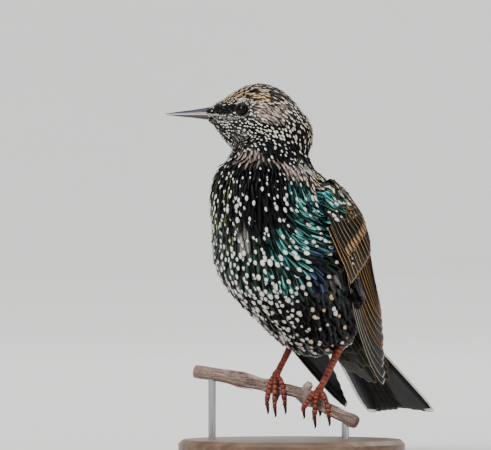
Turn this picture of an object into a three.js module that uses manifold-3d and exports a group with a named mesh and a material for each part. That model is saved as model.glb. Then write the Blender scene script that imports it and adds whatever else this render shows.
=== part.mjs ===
// A common starling in fresh autumn plumage, upright on a short cut length of vine, with its head
// turned in profile. The vine is carried by a plain display stand: a turned base and two rods.
// Millimetres, +Z up. The origin is the centre of the base's underside. The bill points along -X,
// and the body faces the -Y side, so that a viewer who looks along +Y sees the spotted breast.
import * as THREE from "three";
import { mergeVertices } from "three/addons/utils/BufferGeometryUtils.js";
import Module from "manifold-3d";

const wasm = await Module();
wasm.setup();

// Driving dimensions of the pose.
const GAP = 0.3;
const BODY_TURN = 60;
const HEAD_TURN = 10;
const AXIS_X = -2;
const LIFT = 3;

// Sections of neck and torso, tail end first: forward, height, half width, back and belly depth.
const TRUNK = [
  [-58, 57, 8, 4, 4],
  [-48, 59.5, 14, 8, 10.5],
  [-36, 63, 20.5, 13, 21],
  [-24, 70, 25, 17, 26],
  [-13, 82.5, 29.5, 20, 33],
  [-0.5, 98.5, 34.5, 22.5, 40],
  [7.5, 111, 32, 24, 39.5],
  [16, 123.5, 27.5, 19.5, 35],
  [15.5, 133.5, 21.5, 16.5, 28],
  [14.5, 143.5, 17.5, 16.5, 21],
  [13.5, 152, 12, 12, 13],
];
const NECK_BOTTOM = 133;
const NECK_TOP = 143;

// Sections of the head from bill base to nape: along the face, top, bottom, half width.
const HEAD = [
  [26.4, 163, 157.6, 3.1],
  [22.5, 165.2, 153, 5.6],
  [17, 168.6, 146, 8.6],
  [10.5, 172.4, 141.5, 11.6],
  [3.5, 174.7, 139.5, 13.8],
  [-4, 173.8, 138.5, 15.2],
  [-11.5, 169.4, 138.5, 15.2],
  [-17.5, 163, 139.5, 13.4],
  [-21.8, 157.5, 142, 9.5],
  [-23.6, 152.5, 146.5, 3.5],
];
const HEAD_CENTRE = [-14, -11.5];

// Eye and bill, in the head's own lengths.
const EYE = { along: 7.8, side: 9.1, height: 161.8, radius: 3.4, lid: 3.0, lidThick: 0.75 };
const BILL = { base: 21, tip: 46.8, halfWidth: 3.4, gape: 159.7 };
const MOUTH = { length: 10, width: 14, thick: 0.4, slope: 6, middle: 22.5 };
const NOSTRIL = { along: 28, side: 2.5, height: 161.4, radius: 0.75 };
const CULMEN = [164.2, 162.9, 161.9, 161.1, 160.2];
const KEEL = [156.6, 157.3, 158.1, 158.7, 159.3];

// Perch: the vine's centre line, written as across and height, and its depth from a slope.
const VINE = [
  [-46, 36.6], [-29.4, 34.3], [-12.7, 30.5], [-4.6, 28.8], [4, 26.7], [15.4, 20.5], [25.4, 15.7], [31, 13.2],
];
const VINE_RADIUS = 2.9;
const VINE_DEPTH = { at: 3, depth: 6, slope: -0.45 };

// Stand.
const BASE = { radius: 54, thick: 8, edge: 2 };
const ROD = { radius: 1.8, places: [-38, 25.5] };

const rad = THREE.MathUtils.degToRad;
const UP = new THREE.Vector3(0, 0, 1);
const FORWARD = new THREE.Vector3(-Math.cos(rad(BODY_TURN)), -Math.sin(rad(BODY_TURN)), 0);
const LEFT = new THREE.Vector3().crossVectors(UP, FORWARD);
const FACE = new THREE.Vector3(-Math.cos(rad(HEAD_TURN)), Math.sin(rad(HEAD_TURN)), 0);
const FACE_LEFT = new THREE.Vector3().crossVectors(UP, FACE);

// A point of the body, from its forward, left and height.
function body(forward, left, height) {
  return new THREE.Vector3(AXIS_X, 0, height + LIFT).addScaledVector(FORWARD, forward).addScaledVector(LEFT, left);
}

// A point of the head, from its place along the face, to its left and its height.
function face(along, left, height) {
  const [x, y] = HEAD_CENTRE;
  return new THREE.Vector3(x, y, height + LIFT).addScaledVector(FACE, along).addScaledVector(FACE_LEFT, left);
}

// A smooth row between the rows of a table, at t from 0 to 1.
function between(rows, t) {
  const place = t * (rows.length - 1);
  const i = Math.min(Math.floor(place), rows.length - 2);
  const f = place - i;
  const at = (k) => rows[Math.max(0, Math.min(rows.length - 1, k))];
  const [a, b, c, d] = [at(i - 1), at(i), at(i + 1), at(i + 2)];
  return b.map((_, k) => {
    const cubic = -a[k] + 3 * b[k] - 3 * c[k] + d[k];
    const square = 2 * a[k] - 5 * b[k] + 4 * c[k] - d[k];
    return 0.5 * (2 * b[k] + (c[k] - a[k]) * f + square * f * f + cubic * f * f * f);
  });
}

// A closed skin over rings of points, with a fan at each end. On a thin vane the two faces are split alike.
function skinOf(rings, thin = false) {
  const sides = rings[0].length;
  const points = rings.flat();
  const triangles = [];
  const join = (a, b, c) => triangles.push(a, b, c);
  for (let r = 0; r + 1 < rings.length; r++) {
    for (let s = 0; s < sides; s++) {
      const next = (s + 1) % sides;
      const [a, b, c, d] = [r * sides + s, r * sides + next, (r + 1) * sides + next, (r + 1) * sides + s];
      const mirrored = thin && s >= sides / 2;
      join(a, b, mirrored ? d : c);
      if (mirrored) join(b, c, d);
      else join(a, c, d);
    }
  }
  for (const [ring, flip] of [[0, true], [rings.length - 1, false]]) {
    const centre = points.length;
    const mid = new THREE.Vector3();
    rings[ring].forEach((p) => mid.addScaledVector(p, 1 / sides));
    points.push(mid);
    for (let s = 0; s < sides; s++) {
      const [a, b] = [ring * sides + s, ring * sides + ((s + 1) % sides)];
      if (flip) join(centre, b, a);
      else join(centre, a, b);
    }
  }
  const geometry = new THREE.BufferGeometry();
  geometry.setAttribute("position", new THREE.Float32BufferAttribute(points.flatMap((p) => p.toArray()), 3));
  geometry.setIndex(triangles);
  return geometry;
}

// A solid for joining and cutting; a skin that is inside out is turned.
function solid(geometry) {
  let plain = geometry.clone();
  plain.deleteAttribute("normal");
  plain.deleteAttribute("uv");
  plain = mergeVertices(plain, 1e-4);
  const vertProperties = new Float32Array(plain.attributes.position.array);
  const triVerts = new Uint32Array(plain.index.array);
  const first = new wasm.Manifold(new wasm.Mesh({ numProp: 3, vertProperties, triVerts }));
  if (first.volume() > 0) return first;
  for (let i = 0; i < triVerts.length; i += 3) {
    [triVerts[i], triVerts[i + 1]] = [triVerts[i + 1], triVerts[i]];
  }
  return new wasm.Manifold(new wasm.Mesh({ numProp: 3, vertProperties, triVerts }));
}

function union(pieces) {
  return pieces.reduce((whole, piece) => whole.add(piece));
}

function largest(shape) {
  return shape.decompose().reduce((best, piece) => (piece.volume() > best.volume() ? piece : best));
}

// A box that holds everything between two heights.
function slab(low, high) {
  const box = new THREE.BoxGeometry(400, 400, high - low);
  box.translate(0, 0, (low + high) / 2 + LIFT);
  return solid(box);
}

// Neck and torso in one form, grown outwards by the given amount.
function trunk(grow, count, sides) {
  const rings = [];
  for (let i = 0; i < count; i++) {
    const t = i / (count - 1);
    const step = 0.5 / (count - 1);
    const [forward, height, half, back, belly] = between(TRUNK, t);
    const before = between(TRUNK, Math.max(0, t - step));
    const after = between(TRUNK, Math.min(1, t + step));
    const run = new THREE.Vector2(after[0] - before[0], after[1] - before[1]).normalize();
    const ring = [];
    for (let s = 0; s < sides; s++) {
      const turn = (s / sides) * Math.PI * 2;
      const depth = (Math.sin(turn) > 0 ? back : belly) + grow;
      const out = Math.sin(turn) * depth;
      ring.push(body(forward - run.y * out, Math.cos(turn) * (half + grow), height + run.x * out));
    }
    rings.push(ring);
  }
  return solid(skinOf(rings));
}

// The shoulder feathers, a pad that fills the corner between the neck and the bend of a wing.
const SHOULDER = { at: [7, 15, 122], size: [11, 10.5, 12] };

function shoulder(side, grow) {
  const [forward, left, height] = SHOULDER.at;
  const pad = new THREE.SphereGeometry(1, 12, 8);
  pad.rotateX(Math.PI / 2);
  pad.scale(...SHOULDER.size.map((radius) => radius + grow));
  pad.applyMatrix4(new THREE.Matrix4().makeBasis(FORWARD, LEFT, UP).setPosition(body(forward, side * left, height)));
  return solid(pad);
}

// The head's form, grown outwards by the given amount.
function headForm(grow, count, sides) {
  const rings = [];
  for (let i = 0; i < count; i++) {
    const [along, top, bottom, half] = between(HEAD, i / (count - 1));
    const middle = (top + bottom) / 2;
    const ring = [];
    for (let s = 0; s < sides; s++) {
      const turn = (s / sides) * Math.PI * 2;
      const height = middle + Math.sin(turn) * ((top - bottom) / 2 + grow);
      ring.push(face(along + (i === 0 ? grow : 0), Math.cos(turn) * (half + grow), height));
    }
    rings.push(ring);
  }
  return solid(skinOf(rings));
}

// A ball at a point.
function ball(centre, radius, wide = 14, high = 10) {
  const sphere = new THREE.SphereGeometry(radius, wide, high);
  sphere.translate(centre.x, centre.y, centre.z);
  return solid(sphere);
}

// A tube of changing radius through points; a waist at each end closes it.
function limb(points, radii, count, sides) {
  const curve = new THREE.CatmullRomCurve3(points);
  const frames = curve.computeFrenetFrames(count - 1);
  const rings = [];
  for (let i = 0; i < count; i++) {
    const t = i / (count - 1);
    const centre = curve.getPointAt(t);
    const radius = radii(t);
    const ring = [];
    for (let s = 0; s < sides; s++) {
      const turn = (s / sides) * Math.PI * 2;
      ring.push(centre.clone().addScaledVector(frames.normals[i], Math.cos(turn) * radius)
        .addScaledVector(frames.binormals[i], Math.sin(turn) * radius));
    }
    rings.push(ring);
  }
  return solid(skinOf(rings));
}

// Each wing's own frame: x from the bend of the wing to its tip, y towards the back, z outwards.
function wingFrame(side) {
  const bend = side > 0 ? body(14, 28.5, 117) : body(6, -27.5, 111);
  const tip = side > 0 ? body(-67.2, 17, 31) : body(-80.8, -15, 19);
  const x = tip.clone().sub(bend).normalize();
  const out = LEFT.clone().multiplyScalar(side);
  const z = out.addScaledVector(x, -out.dot(x)).normalize();
  const y = new THREE.Vector3().crossVectors(z, x).multiplyScalar(side);
  return { origin: bend, length: tip.distanceTo(bend), x, y, z };
}

// Rows of the folded wing: share of its length, front edge, back edge, height over the frame's plane.
const WING_ROWS = [
  [-0.06, -1, 9, 0],
  [0.05, -6, 16, 4.6],
  [0.2, -9, 22, 7.9],
  [0.35, -11, 24, 7.2],
  [0.5, -11, 23, 5.4],
  [0.65, -9.5, 18, 3.5],
  [0.8, -7.5, 13, 2],
  [0.92, -4, 7, 0.8],
  [1, -1, 1.5, 0],
];
const WING_WRAP = 15;

// The height of the folded wing's middle surface; its back edge wraps over the back.
function wingHeight(share, across) {
  const t = (share - WING_ROWS[0][0]) / (1 - WING_ROWS[0][0]);
  const lift = between(WING_ROWS, Math.max(0, Math.min(1, t)))[3];
  const wrap = WING_WRAP * (1 - 0.75 * THREE.MathUtils.smoothstep(share, 0.45, 0.85));
  return lift - wrap * Math.max(0, (across - 2) / 22) ** 2;
}

function wingPoint(frame, share, across, over) {
  return frame.origin.clone().addScaledVector(frame.x, share * frame.length).addScaledVector(frame.y, across)
    .addScaledVector(frame.z, wingHeight(share, across) + over);
}

// One feather on a curved sheet: at(x, y, over) gives the sheet's points, and a vane runs from root to tip.
function vane(at, feather) {
  const { root, tip, half, bow = 0, over, blunt = 0.2, rows = 5, thick = 0.55, tilt = 0.12 } = feather;
  const run = new THREE.Vector2(tip[0] - root[0], tip[1] - root[1]);
  const side = new THREE.Vector2(-run.y, run.x).normalize();
  const rings = [];
  for (let i = 0; i < rows; i++) {
    const t = i / (rows - 1);
    const width = half * between([[0.45], [0.8], [0.98], [1], [blunt + 0.3]], t)[0] * (i === rows - 1 ? 0.55 : 1);
    const centre = [root[0] + run.x * t, root[1] + run.y * t - bow * Math.sin(Math.PI * t)];
    const point = (k, up) => {
      const [x, y] = [centre[0] + side.x * width * k, centre[1] + side.y * width * k];
      return at(x, y, over - tilt * k + up * thick * 0.5);
    };
    rings.push([point(-1, 1), point(1, 1), point(1, -1), point(-1, -1)]);
  }
  return solid(skinOf(rings, true));
}

// Feather tiers of one folded wing: how many, then root and tip from the first to the last, as share of the
// wing's length and place across it, and half width and height over the sheet. The outermost comes first.
const WING_TIERS = [
  { name: "primaries", count: 9, roots: [[0.13, -6], [0.1, 2]], tips: [[1, 0], [0.72, 12]], half: [4.3, 5], over: [-2, 0.6], bow: 3.6, rows: 5 },
  { name: "secondaries", count: 6, roots: [[0.1, 3], [0.12, 14]], tips: [[0.7, 13.2], [0.62, 18]], half: [5.2, 6], over: [0.95, 2.6], bow: 2.5, rows: 4 },
  { name: "tertials", count: 3, roots: [[0.1, 14], [0.14, 18]], tips: [[0.57, 19], [0.42, 20.5]], half: [6.2, 6], over: [2.95, 3.6], bow: 2, rows: 4 },
  { name: "greater coverts", count: 6, roots: [[0.08, -4], [0.1, 16]], tips: [[0.36, -7], [0.33, 19]], half: [4.4, 5], over: [0.9, 4.2], bow: 1, rows: 3 },
  { name: "median coverts", count: 5, roots: [[0.03, -3], [0.06, 14]], tips: [[0.24, -6], [0.22, 18]], half: [4, 4.6], over: [1.6, 4.5], bow: 0.6, rows: 3 },
];
const WING_CORE = { reach: 0.36, thick: 3.4 };

function mix(pair, t) {
  return Array.isArray(pair[0]) ? pair[0].map((v, k) => v + (pair[1][k] - v) * t) : pair[0] + (pair[1] - pair[0]) * t;
}

// The folded wing: a core of arm and small coverts, and the tiers that grow out of it.
function wing(side) {
  const frame = wingFrame(side);
  const at = (x, y, over) => wingPoint(frame, x / frame.length, y, over);
  const pieces = [];
  const rings = [];
  const count = 11;
  for (let i = 0; i < count; i++) {
    const t = i / (count - 1);
    const [share, front, back] = between(WING_ROWS, t * WING_CORE.reach);
    const [middle, half] = [(front + back) / 2, ((back - front) / 2) * (1 - 0.45 * t ** 3)];
    const depth = WING_CORE.thick * Math.sqrt(Math.max(0.04, 1 - t ** 2));
    const ring = [];
    for (let s = 0; s < 14; s++) {
      const turn = (s / 14) * Math.PI * 2;
      ring.push(wingPoint(frame, share, middle + Math.cos(turn) * half, 0.6 + Math.sin(turn) * depth));
    }
    rings.push(ring);
  }
  pieces.push(solid(skinOf(rings)));
  for (const tier of WING_TIERS) {
    for (let k = 0; k < tier.count; k++) {
      const t = k / (tier.count - 1);
      const [rootShare, rootAcross] = mix(tier.roots, t);
      const [tipShare, tipAcross] = mix(tier.tips, t);
      pieces.push(vane(at, {
        root: [rootShare * frame.length, rootAcross],
        tip: [tipShare * frame.length, tipAcross],
        half: mix(tier.half, t),
        over: mix(tier.over, t),
        bow: tier.bow,
        rows: tier.rows,
      }));
    }
  }
  return union(pieces);
}

// Tail: its root on the rump, its slope, its spread, its length and how far it swings to the left.
const TAIL = { root: [-50, 59.5], slope: 37, spread: 7.5, length: 74, halfRoot: 9, swing: 0.028 };

function tailPoint(along, across, over) {
  const slope = rad(TAIL.slope);
  const [forward, height] = TAIL.root;
  const flat = -along * Math.cos(slope) - over * Math.sin(slope);
  const drop = -along * Math.sin(slope) + over * Math.cos(slope);
  return body(forward + flat, across + along * TAIL.swing, height + drop);
}

// Twelve tail feathers, the middle pair on top, with coverts above and below their roots.
const TAIL_TIERS = [
  { count: 12, from: -4, length: 0, half: 3.9, over: [-1.2, 1.7], spread: 1 },
  { count: 4, from: -5, length: -40, half: 5, over: [1.6, 2.6], spread: 0.8 },
  { count: 4, from: -5, length: -30, half: 5, over: [-1.4, -2.4], spread: 0.8 },
];

function tail() {
  const rings = [];
  for (let i = 0; i < 7; i++) {
    const t = i / 6;
    const along = -7 + t * 24;
    const ring = [];
    for (let s = 0; s < 14; s++) {
      const turn = (s / 14) * Math.PI * 2;
      ring.push(tailPoint(along, Math.cos(turn) * TAIL.halfRoot, Math.sin(turn) * 4 * Math.sqrt(1.02 - t * t)));
    }
    rings.push(ring);
  }
  const pieces = [solid(skinOf(rings))];
  for (const tier of TAIL_TIERS) {
    for (let k = 0; k < tier.count; k++) {
      const place = (2 * k) / (tier.count - 1) - 1;
      const turn = rad(TAIL.spread * place * tier.spread);
      const length = TAIL.length + tier.length - 2 * Math.cos(place * 1.4);
      const start = [tier.from, place * (TAIL.halfRoot - 3)];
      const reach = length - tier.from;
      pieces.push(vane(tailPoint, {
        root: start,
        tip: [start[0] + Math.cos(turn) * reach, start[1] + Math.sin(turn) * reach],
        half: tier.half,
        over: tier.over[1] + (tier.over[0] - tier.over[1]) * Math.abs(place) + 0.07 * k,
        blunt: 0.45,
        rows: tier.length ? 3 : 4,
      }));
    }
  }
  return union(pieces);
}

// The perch's depth, which runs nearer to the viewer towards its right end.
function vineDepth(across) {
  return VINE_DEPTH.depth + VINE_DEPTH.slope * (across - VINE_DEPTH.at);
}

const vinePoints = VINE.map(([across, height]) => new THREE.Vector3(across, vineDepth(across), height + LIFT));

// The vine with its swollen nodes.
function vine(grow) {
  const swelling = (t) => 0.8 * Math.exp(-(((t - 0.2) / 0.05) ** 2)) + 0.7 * Math.exp(-(((t - 0.62) / 0.04) ** 2));
  const waver = (t) => 0.18 * Math.sin(t * 23) + 0.12 * Math.sin(t * 41 + 1);
  return limb(vinePoints, (t) => VINE_RADIUS + grow + swelling(t) + waver(t), 34, 10);
}

// A bird's foot: a raised joint, three toes over the front of the vine and one behind it.
const TOE = { root: 1.5, end: 0.95, claw: 0.85 };

function toe(points, claw) {
  const radius = (t) => TOE.root + (TOE.end - TOE.root) * t + 0.14 * Math.cos(t * Math.PI * 6);
  const flesh = limb(points, radius, 8, 6);
  const nail = limb(claw, (t) => TOE.claw * (1 - t) ** 0.8 + 0.12, 5, 6);
  return flesh.add(nail);
}

function leg(side) {
  const across = side > 0 ? 13 : -7.5;
  const depth = vineDepth(across);
  const perchHeight = side > 0 ? 22.4 : 29.4;
  const at = (dx, dy, dz) => new THREE.Vector3(across + dx, depth + dy, perchHeight + dz + LIFT);
  const joint = at(0, 0.6, 5.6);
  const knee = joint.clone().add(new THREE.Vector3(10.5, 17.5, 22));
  const shank = limb([joint, joint.clone().lerp(knee, 0.5), knee], (t) => 1.55 + 1.1 * t * t * t, 7, 8);
  const spread = side > 0 ? [-7.5, -2.2, 4.6] : [-4.2, -0.6, 4.2];
  const reach = side > 0 ? [-3, -7.5, -6.5] : [-8, -9.5, -8];
  const toes = spread.map((dx, k) => {
    const dz = reach[k];
    const path = [joint, at(dx * 0.35, -3.4, 4.4), at(dx * 0.75, -5.3, 0.6), at(dx, -4.9, dz * 0.75), at(dx, -4.2, dz)];
    const claw = [at(dx, -4.3, dz + 0.6), at(dx + 0.3, -4, dz - 1.8), at(dx + 0.5, -2.2, dz - 3.8), at(dx, -0.4, dz - 4.6)];
    return toe(path, claw);
  });
  const hind = toe(
    [joint, at(0.6, 4.2, 3.6), at(0.9, 5.2, -0.6), at(0.7, 4, -4.2)],
    [at(0.7, 4.2, -3.8), at(0.6, 3.2, -5.6), at(0.4, 1.2, -6.6)],
  );
  return union([shank, ball(joint, 1.9, 10, 8), ...toes, hind]);
}

// The two halves of the bill, from their profiles.
function billHalf(profile, upper) {
  const count = 9;
  const rings = [];
  for (let i = 0; i < count; i++) {
    const t = i / (count - 1);
    const along = BILL.base + (BILL.tip - (upper ? 0 : 0.7) - BILL.base) * t;
    const outer = between(profile.map((h) => [h]), t)[0];
    const flat = BILL.gape + (upper ? GAP / 2 : -GAP / 2);
    const half = BILL.halfWidth * (1 - t) ** 0.75 + 0.35;
    const ring = [];
    for (let s = 0; s < 10; s++) {
      const turn = (s / 9) * Math.PI;
      ring.push(face(along, Math.cos(turn) * half, flat + (outer - flat) * Math.sin(turn) ** 0.85));
    }
    rings.push(ring);
  }
  return solid(skinOf(rings));
}

// A ring of flesh about the eye.
function lid(side) {
  const ring = new THREE.TorusGeometry(EYE.lid, EYE.lidThick, 5, 16);
  const centre = face(EYE.along, side * (EYE.side + 2.3), EYE.height);
  const turn = new THREE.Quaternion().setFromUnitVectors(UP, FACE_LEFT.clone().multiplyScalar(side));
  ring.applyQuaternion(turn);
  ring.translate(centre.x, centre.y, centre.z);
  return solid(ring);
}

// The line of the mouth, which runs on from the bill into the cheek.
function mouthLine() {
  const { length, width, thick, slope, middle } = MOUTH;
  const slot = new THREE.BoxGeometry(length, width, thick);
  slot.rotateY(rad(slope));
  slot.rotateZ(-rad(HEAD_TURN));
  const centre = face(middle, 0, BILL.gape - 0.5);
  slot.translate(centre.x, centre.y, centre.z);
  return solid(slot);
}

const nostril = (side) => ball(face(NOSTRIL.along, side * NOSTRIL.side, NOSTRIL.height), NOSTRIL.radius, 8, 6);

const feathered = (grow) => union([trunk(grow, 25, 30), shoulder(1, grow), shoulder(-1, grow)]);
const whole = feathered(0);
const wholeGrown = feathered(GAP);
const headShape = headForm(0, 19, 24);
const headGrown = headForm(GAP, 19, 24);
const eyeAt = (side) => face(EYE.along, side * EYE.side, EYE.height);

let head = headShape.add(whole).intersect(slab(NECK_TOP, 400));
for (const side of [1, -1]) {
  head = head.add(lid(side)).subtract(ball(eyeAt(side), EYE.radius + GAP));
}

head = head.subtract(mouthLine());

const vineSolid = vine(0);
const vineGrown = vine(GAP);

function rod(across) {
  const bottom = BASE.thick + GAP;
  const top = 45;
  const shaft = new THREE.CylinderGeometry(ROD.radius, ROD.radius, top - bottom, 20);
  shaft.rotateX(Math.PI / 2);
  shaft.translate(across, vineDepth(across), (top + bottom) / 2);
  const pieces = solid(shaft).subtract(vineGrown).decompose();
  return pieces.reduce((low, piece) => (piece.boundingBox().min[2] < low.boundingBox().min[2] ? piece : low));
}

function base() {
  const { radius, thick, edge } = BASE;
  const profile = [[0, 0], [radius, 0], [radius, thick - edge], [radius - edge, thick], [0, thick]];
  const turned = new THREE.LatheGeometry(profile.map(([r, z]) => new THREE.Vector2(r, z)), 44);
  turned.rotateX(Math.PI / 2);
  return solid(turned);
}

// Colour, roughness and metalness of each material.
const material = (color, roughness, metalness = 0) => new THREE.MeshStandardMaterial({ color, roughness, metalness });
const PLUMAGE = material("#15181b", 0.55);
const BILL_HORN = material("#2b2f3a", 0.4);
const EYE_DARK = material("#120b08", 0.05);
const LEG_SKIN = material("#8a3f27", 0.6);
const BARK = material("#7d6a5c", 0.9);
const WOOD = material("#4a2f1e", 0.5);
const STEEL = material("#9a9a98", 0.35, 0.9);

const starling = new THREE.Group();

function add(name, shape, look) {
  const { vertProperties, triVerts } = largest(shape).getMesh();
  const geometry = new THREE.BufferGeometry();
  geometry.setAttribute("position", new THREE.Float32BufferAttribute(vertProperties, 3));
  geometry.setIndex(new THREE.Uint32BufferAttribute(triVerts, 1));
  geometry.computeVertexNormals();
  const mesh = new THREE.Mesh(geometry, look);
  mesh.name = name;
  starling.add(mesh);
}

const torso = whole.intersect(slab(-50, NECK_BOTTOM - GAP));
const legs = { left: leg(1), right: leg(-1) };
const wings = { left: wing(1), right: wing(-1) };

add("head", head, PLUMAGE);
add("neck", whole.intersect(slab(NECK_BOTTOM, NECK_TOP - GAP)), PLUMAGE);
add("torso", torso, PLUMAGE);
const upperBill = billHalf(CULMEN, true).subtract(headGrown).subtract(nostril(1)).subtract(nostril(-1));

add("bill_upper", upperBill, BILL_HORN);
add("bill_lower", billHalf(KEEL, false).subtract(headGrown), BILL_HORN);
add("eye_left", ball(eyeAt(1), EYE.radius, 16, 10), EYE_DARK);
add("eye_right", ball(eyeAt(-1), EYE.radius, 16, 10), EYE_DARK);
add("wing_left", wings.left.subtract(wholeGrown), PLUMAGE);
add("wing_right", wings.right.subtract(wholeGrown), PLUMAGE);
add("tail", tail().subtract(wholeGrown), PLUMAGE);
add("leg_left", legs.left.subtract(wholeGrown).subtract(vineGrown), LEG_SKIN);
add("leg_right", legs.right.subtract(wholeGrown).subtract(vineGrown), LEG_SKIN);
add("perch", vineSolid, BARK);
add("stand_base", base(), WOOD);
add("stand_rod_1", rod(ROD.places[0]), STEEL);
add("stand_rod_2", rod(ROD.places[1]), STEEL);

export default starling;
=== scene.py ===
"""A starling in fresh autumn plumage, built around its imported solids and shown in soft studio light."""
import math
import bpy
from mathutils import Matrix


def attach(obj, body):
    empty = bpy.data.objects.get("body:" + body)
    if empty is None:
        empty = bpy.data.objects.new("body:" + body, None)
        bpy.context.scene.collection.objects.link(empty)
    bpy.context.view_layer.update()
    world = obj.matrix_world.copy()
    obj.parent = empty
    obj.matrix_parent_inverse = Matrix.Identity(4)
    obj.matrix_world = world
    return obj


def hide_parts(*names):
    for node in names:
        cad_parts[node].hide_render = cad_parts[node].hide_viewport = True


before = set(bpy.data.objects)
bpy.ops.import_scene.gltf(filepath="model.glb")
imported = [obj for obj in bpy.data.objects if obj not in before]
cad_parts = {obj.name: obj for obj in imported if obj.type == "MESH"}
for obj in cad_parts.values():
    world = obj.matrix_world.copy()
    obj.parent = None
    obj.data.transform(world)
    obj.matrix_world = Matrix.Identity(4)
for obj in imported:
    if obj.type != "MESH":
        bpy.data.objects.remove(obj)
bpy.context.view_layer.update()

from types import SimpleNamespace

import bmesh
import bpy
import numpy as np
from mathutils import Vector
from mathutils.bvhtree import BVHTree

MM = 0.001
SEED = 20

# Driving dimensions of the pose, in millimetres and degrees, as the solids have them.
BODY_TURN = math.radians(60)
HEAD_TURN = math.radians(10)
AXIS_X = -2.0
LIFT = 3.0

# Sections of neck and torso, tail end first: forward, height, half width, back and belly depth.
TRUNK = [
    (-58, 57, 8, 4, 4), (-48, 59.5, 14, 8, 10.5), (-36, 63, 20.5, 13, 21), (-24, 70, 25, 17, 26),
    (-13, 82.5, 29.5, 20, 33), (-0.5, 98.5, 34.5, 22.5, 40), (7.5, 111, 32, 24, 39.5),
    (16, 123.5, 27.5, 19.5, 35), (15.5, 133.5, 21.5, 16.5, 28), (14.5, 143.5, 17.5, 16.5, 21),
    (13.5, 152, 12, 12, 13),
]

# Sections of the head from bill base to nape: along the face, top, bottom, half width.
HEAD = [
    (26.4, 163, 157.6, 3.1), (22.5, 165.2, 153, 5.6), (17, 168.6, 146, 8.6), (10.5, 172.4, 141.5, 11.6),
    (3.5, 174.7, 139.5, 13.8), (-4, 173.8, 138.5, 15.2), (-11.5, 169.4, 138.5, 15.2),
    (-17.5, 163, 139.5, 13.4), (-21.8, 157.5, 142, 9.5), (-23.6, 152.5, 146.5, 3.5),
]
HEAD_CENTRE = (-14.0, -11.5)
EYE_ALONG, EYE_SIDE, EYE_HEIGHT, EYE_RADIUS = 7.8, 9.1, 161.8, 3.4
SHOULDER_AT, SHOULDER_SIZE = (7, 15, 122), (11, 10.5, 12)
SIDES = ((1, "left"), (-1, "right"))

UP = np.array([0.0, 0.0, 1.0])
FORWARD = np.array([-math.cos(BODY_TURN), -math.sin(BODY_TURN), 0.0])
LEFT = np.cross(UP, FORWARD)
FACE = np.array([-math.cos(HEAD_TURN), math.sin(HEAD_TURN), 0.0])
FACE_LEFT = np.cross(UP, FACE)

# The coat's depth over the skin.
TRUNK_COAT = 1.7
HEAD_COAT = 0.8


def body(forward, left, height):
    """A point of the body, from its forward, left and height, in millimetres."""
    return np.array([AXIS_X, 0, height + LIFT]) + forward * FORWARD + left * LEFT


def face(along, left, height):
    """A point of the head, from its place along the face, to its left and its height."""
    return np.array([*HEAD_CENTRE, height + LIFT]) + along * FACE + left * FACE_LEFT


def unit(v):
    """Vectors of length one, in the same directions."""
    return v / np.maximum(np.linalg.norm(v, axis=-1, keepdims=True), 1e-9)


def between(rows, t):
    """A smooth row between the rows of a table, at t from 0 to 1."""
    rows = np.asarray(rows, float)
    place = min(max(t, 0.0), 1.0) * (len(rows) - 1)
    i = min(int(place), len(rows) - 2)
    f = place - i
    a, b, c, d = (rows[min(max(k, 0), len(rows) - 1)] for k in (i - 1, i, i + 1, i + 2))
    square = 2 * a - 5 * b + 4 * c - d
    return 0.5 * (2 * b + (c - a) * f + square * f * f + (-a + 3 * b - 3 * c + d) * f ** 3)


def smooth(low, high, value):
    """A soft step from 0 at low to 1 at high."""
    t = np.clip((value - low) / (high - low), 0, 1)
    return t * t * (3 - 2 * t)


def band(value, low, high, soft):
    """Full between low and high, fading over soft on both sides."""
    return smooth(low - soft, low + soft, value) * (1 - smooth(high - soft, high + soft, value))


def mix(pair, t):
    """A value between the two of a pair."""
    return np.array(pair[0], float) + (np.array(pair[1], float) - np.array(pair[0], float)) * t


def circle(count):
    """Angles once round."""
    return np.linspace(0, 2 * math.pi, count, endpoint=False)


# Forms are pairs of points, in millimetres, and faces.
def loft(rings, cap=True):
    """A closed form over rings of equal length."""
    rings = np.asarray(rings, float)
    count, sides = rings.shape[:2]
    points = rings.reshape(-1, 3)
    faces = []
    for r in range(count - 1):
        for s in range(sides):
            n = (s + 1) % sides
            faces.append((r * sides + s, r * sides + n, (r + 1) * sides + n, (r + 1) * sides + s))
    if cap:
        points = np.vstack([points, rings[0].mean(0), rings[-1].mean(0)])
        first, last = len(points) - 2, len(points) - 1
        for s in range(sides):
            n = (s + 1) % sides
            faces.append((first, n, s))
            faces.append((last, (count - 1) * sides + s, (count - 1) * sides + n))
    return points, faces


def together(forms):
    """Several forms as one."""
    points, faces, shift = [], [], 0
    for more, sides in forms:
        points.append(more)
        faces += [tuple(i + shift for i in side) for side in sides]
        shift += len(more)
    return np.vstack(points), faces


def add_object(name, mesh, material, replaces=()):
    """An object that rides on the body, and stands for the named nodes."""
    obj = bpy.data.objects.new(name, mesh)
    bpy.context.scene.collection.objects.link(obj)
    mesh.materials.append(material)
    mesh.shade_smooth()
    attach(obj, "root")
    if replaces:
        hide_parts(*replaces)
    return obj


def new_object(name, form, material, replaces=()):
    """A mesh object made from a form."""
    points, faces = form
    mesh = bpy.data.meshes.new(name)
    mesh.from_pydata((np.asarray(points) * MM).tolist(), [], [list(map(int, f)) for f in faces])
    mesh.validate()
    return add_object(name, mesh, material, replaces)


def set_map(obj, title, uv):
    """A UV map with one value for each point."""
    corner = np.empty(len(obj.data.loops), int)
    obj.data.loops.foreach_get("vertex_index", corner)
    obj.data.uv_layers.new(name=title).data.foreach_set("uv", uv[corner].ravel())


def get_points(mesh):
    """The mesh's points, in millimetres."""
    points = np.empty(len(mesh.vertices) * 3)
    mesh.vertices.foreach_get("co", points)
    return points.reshape(-1, 3) / MM


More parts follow.
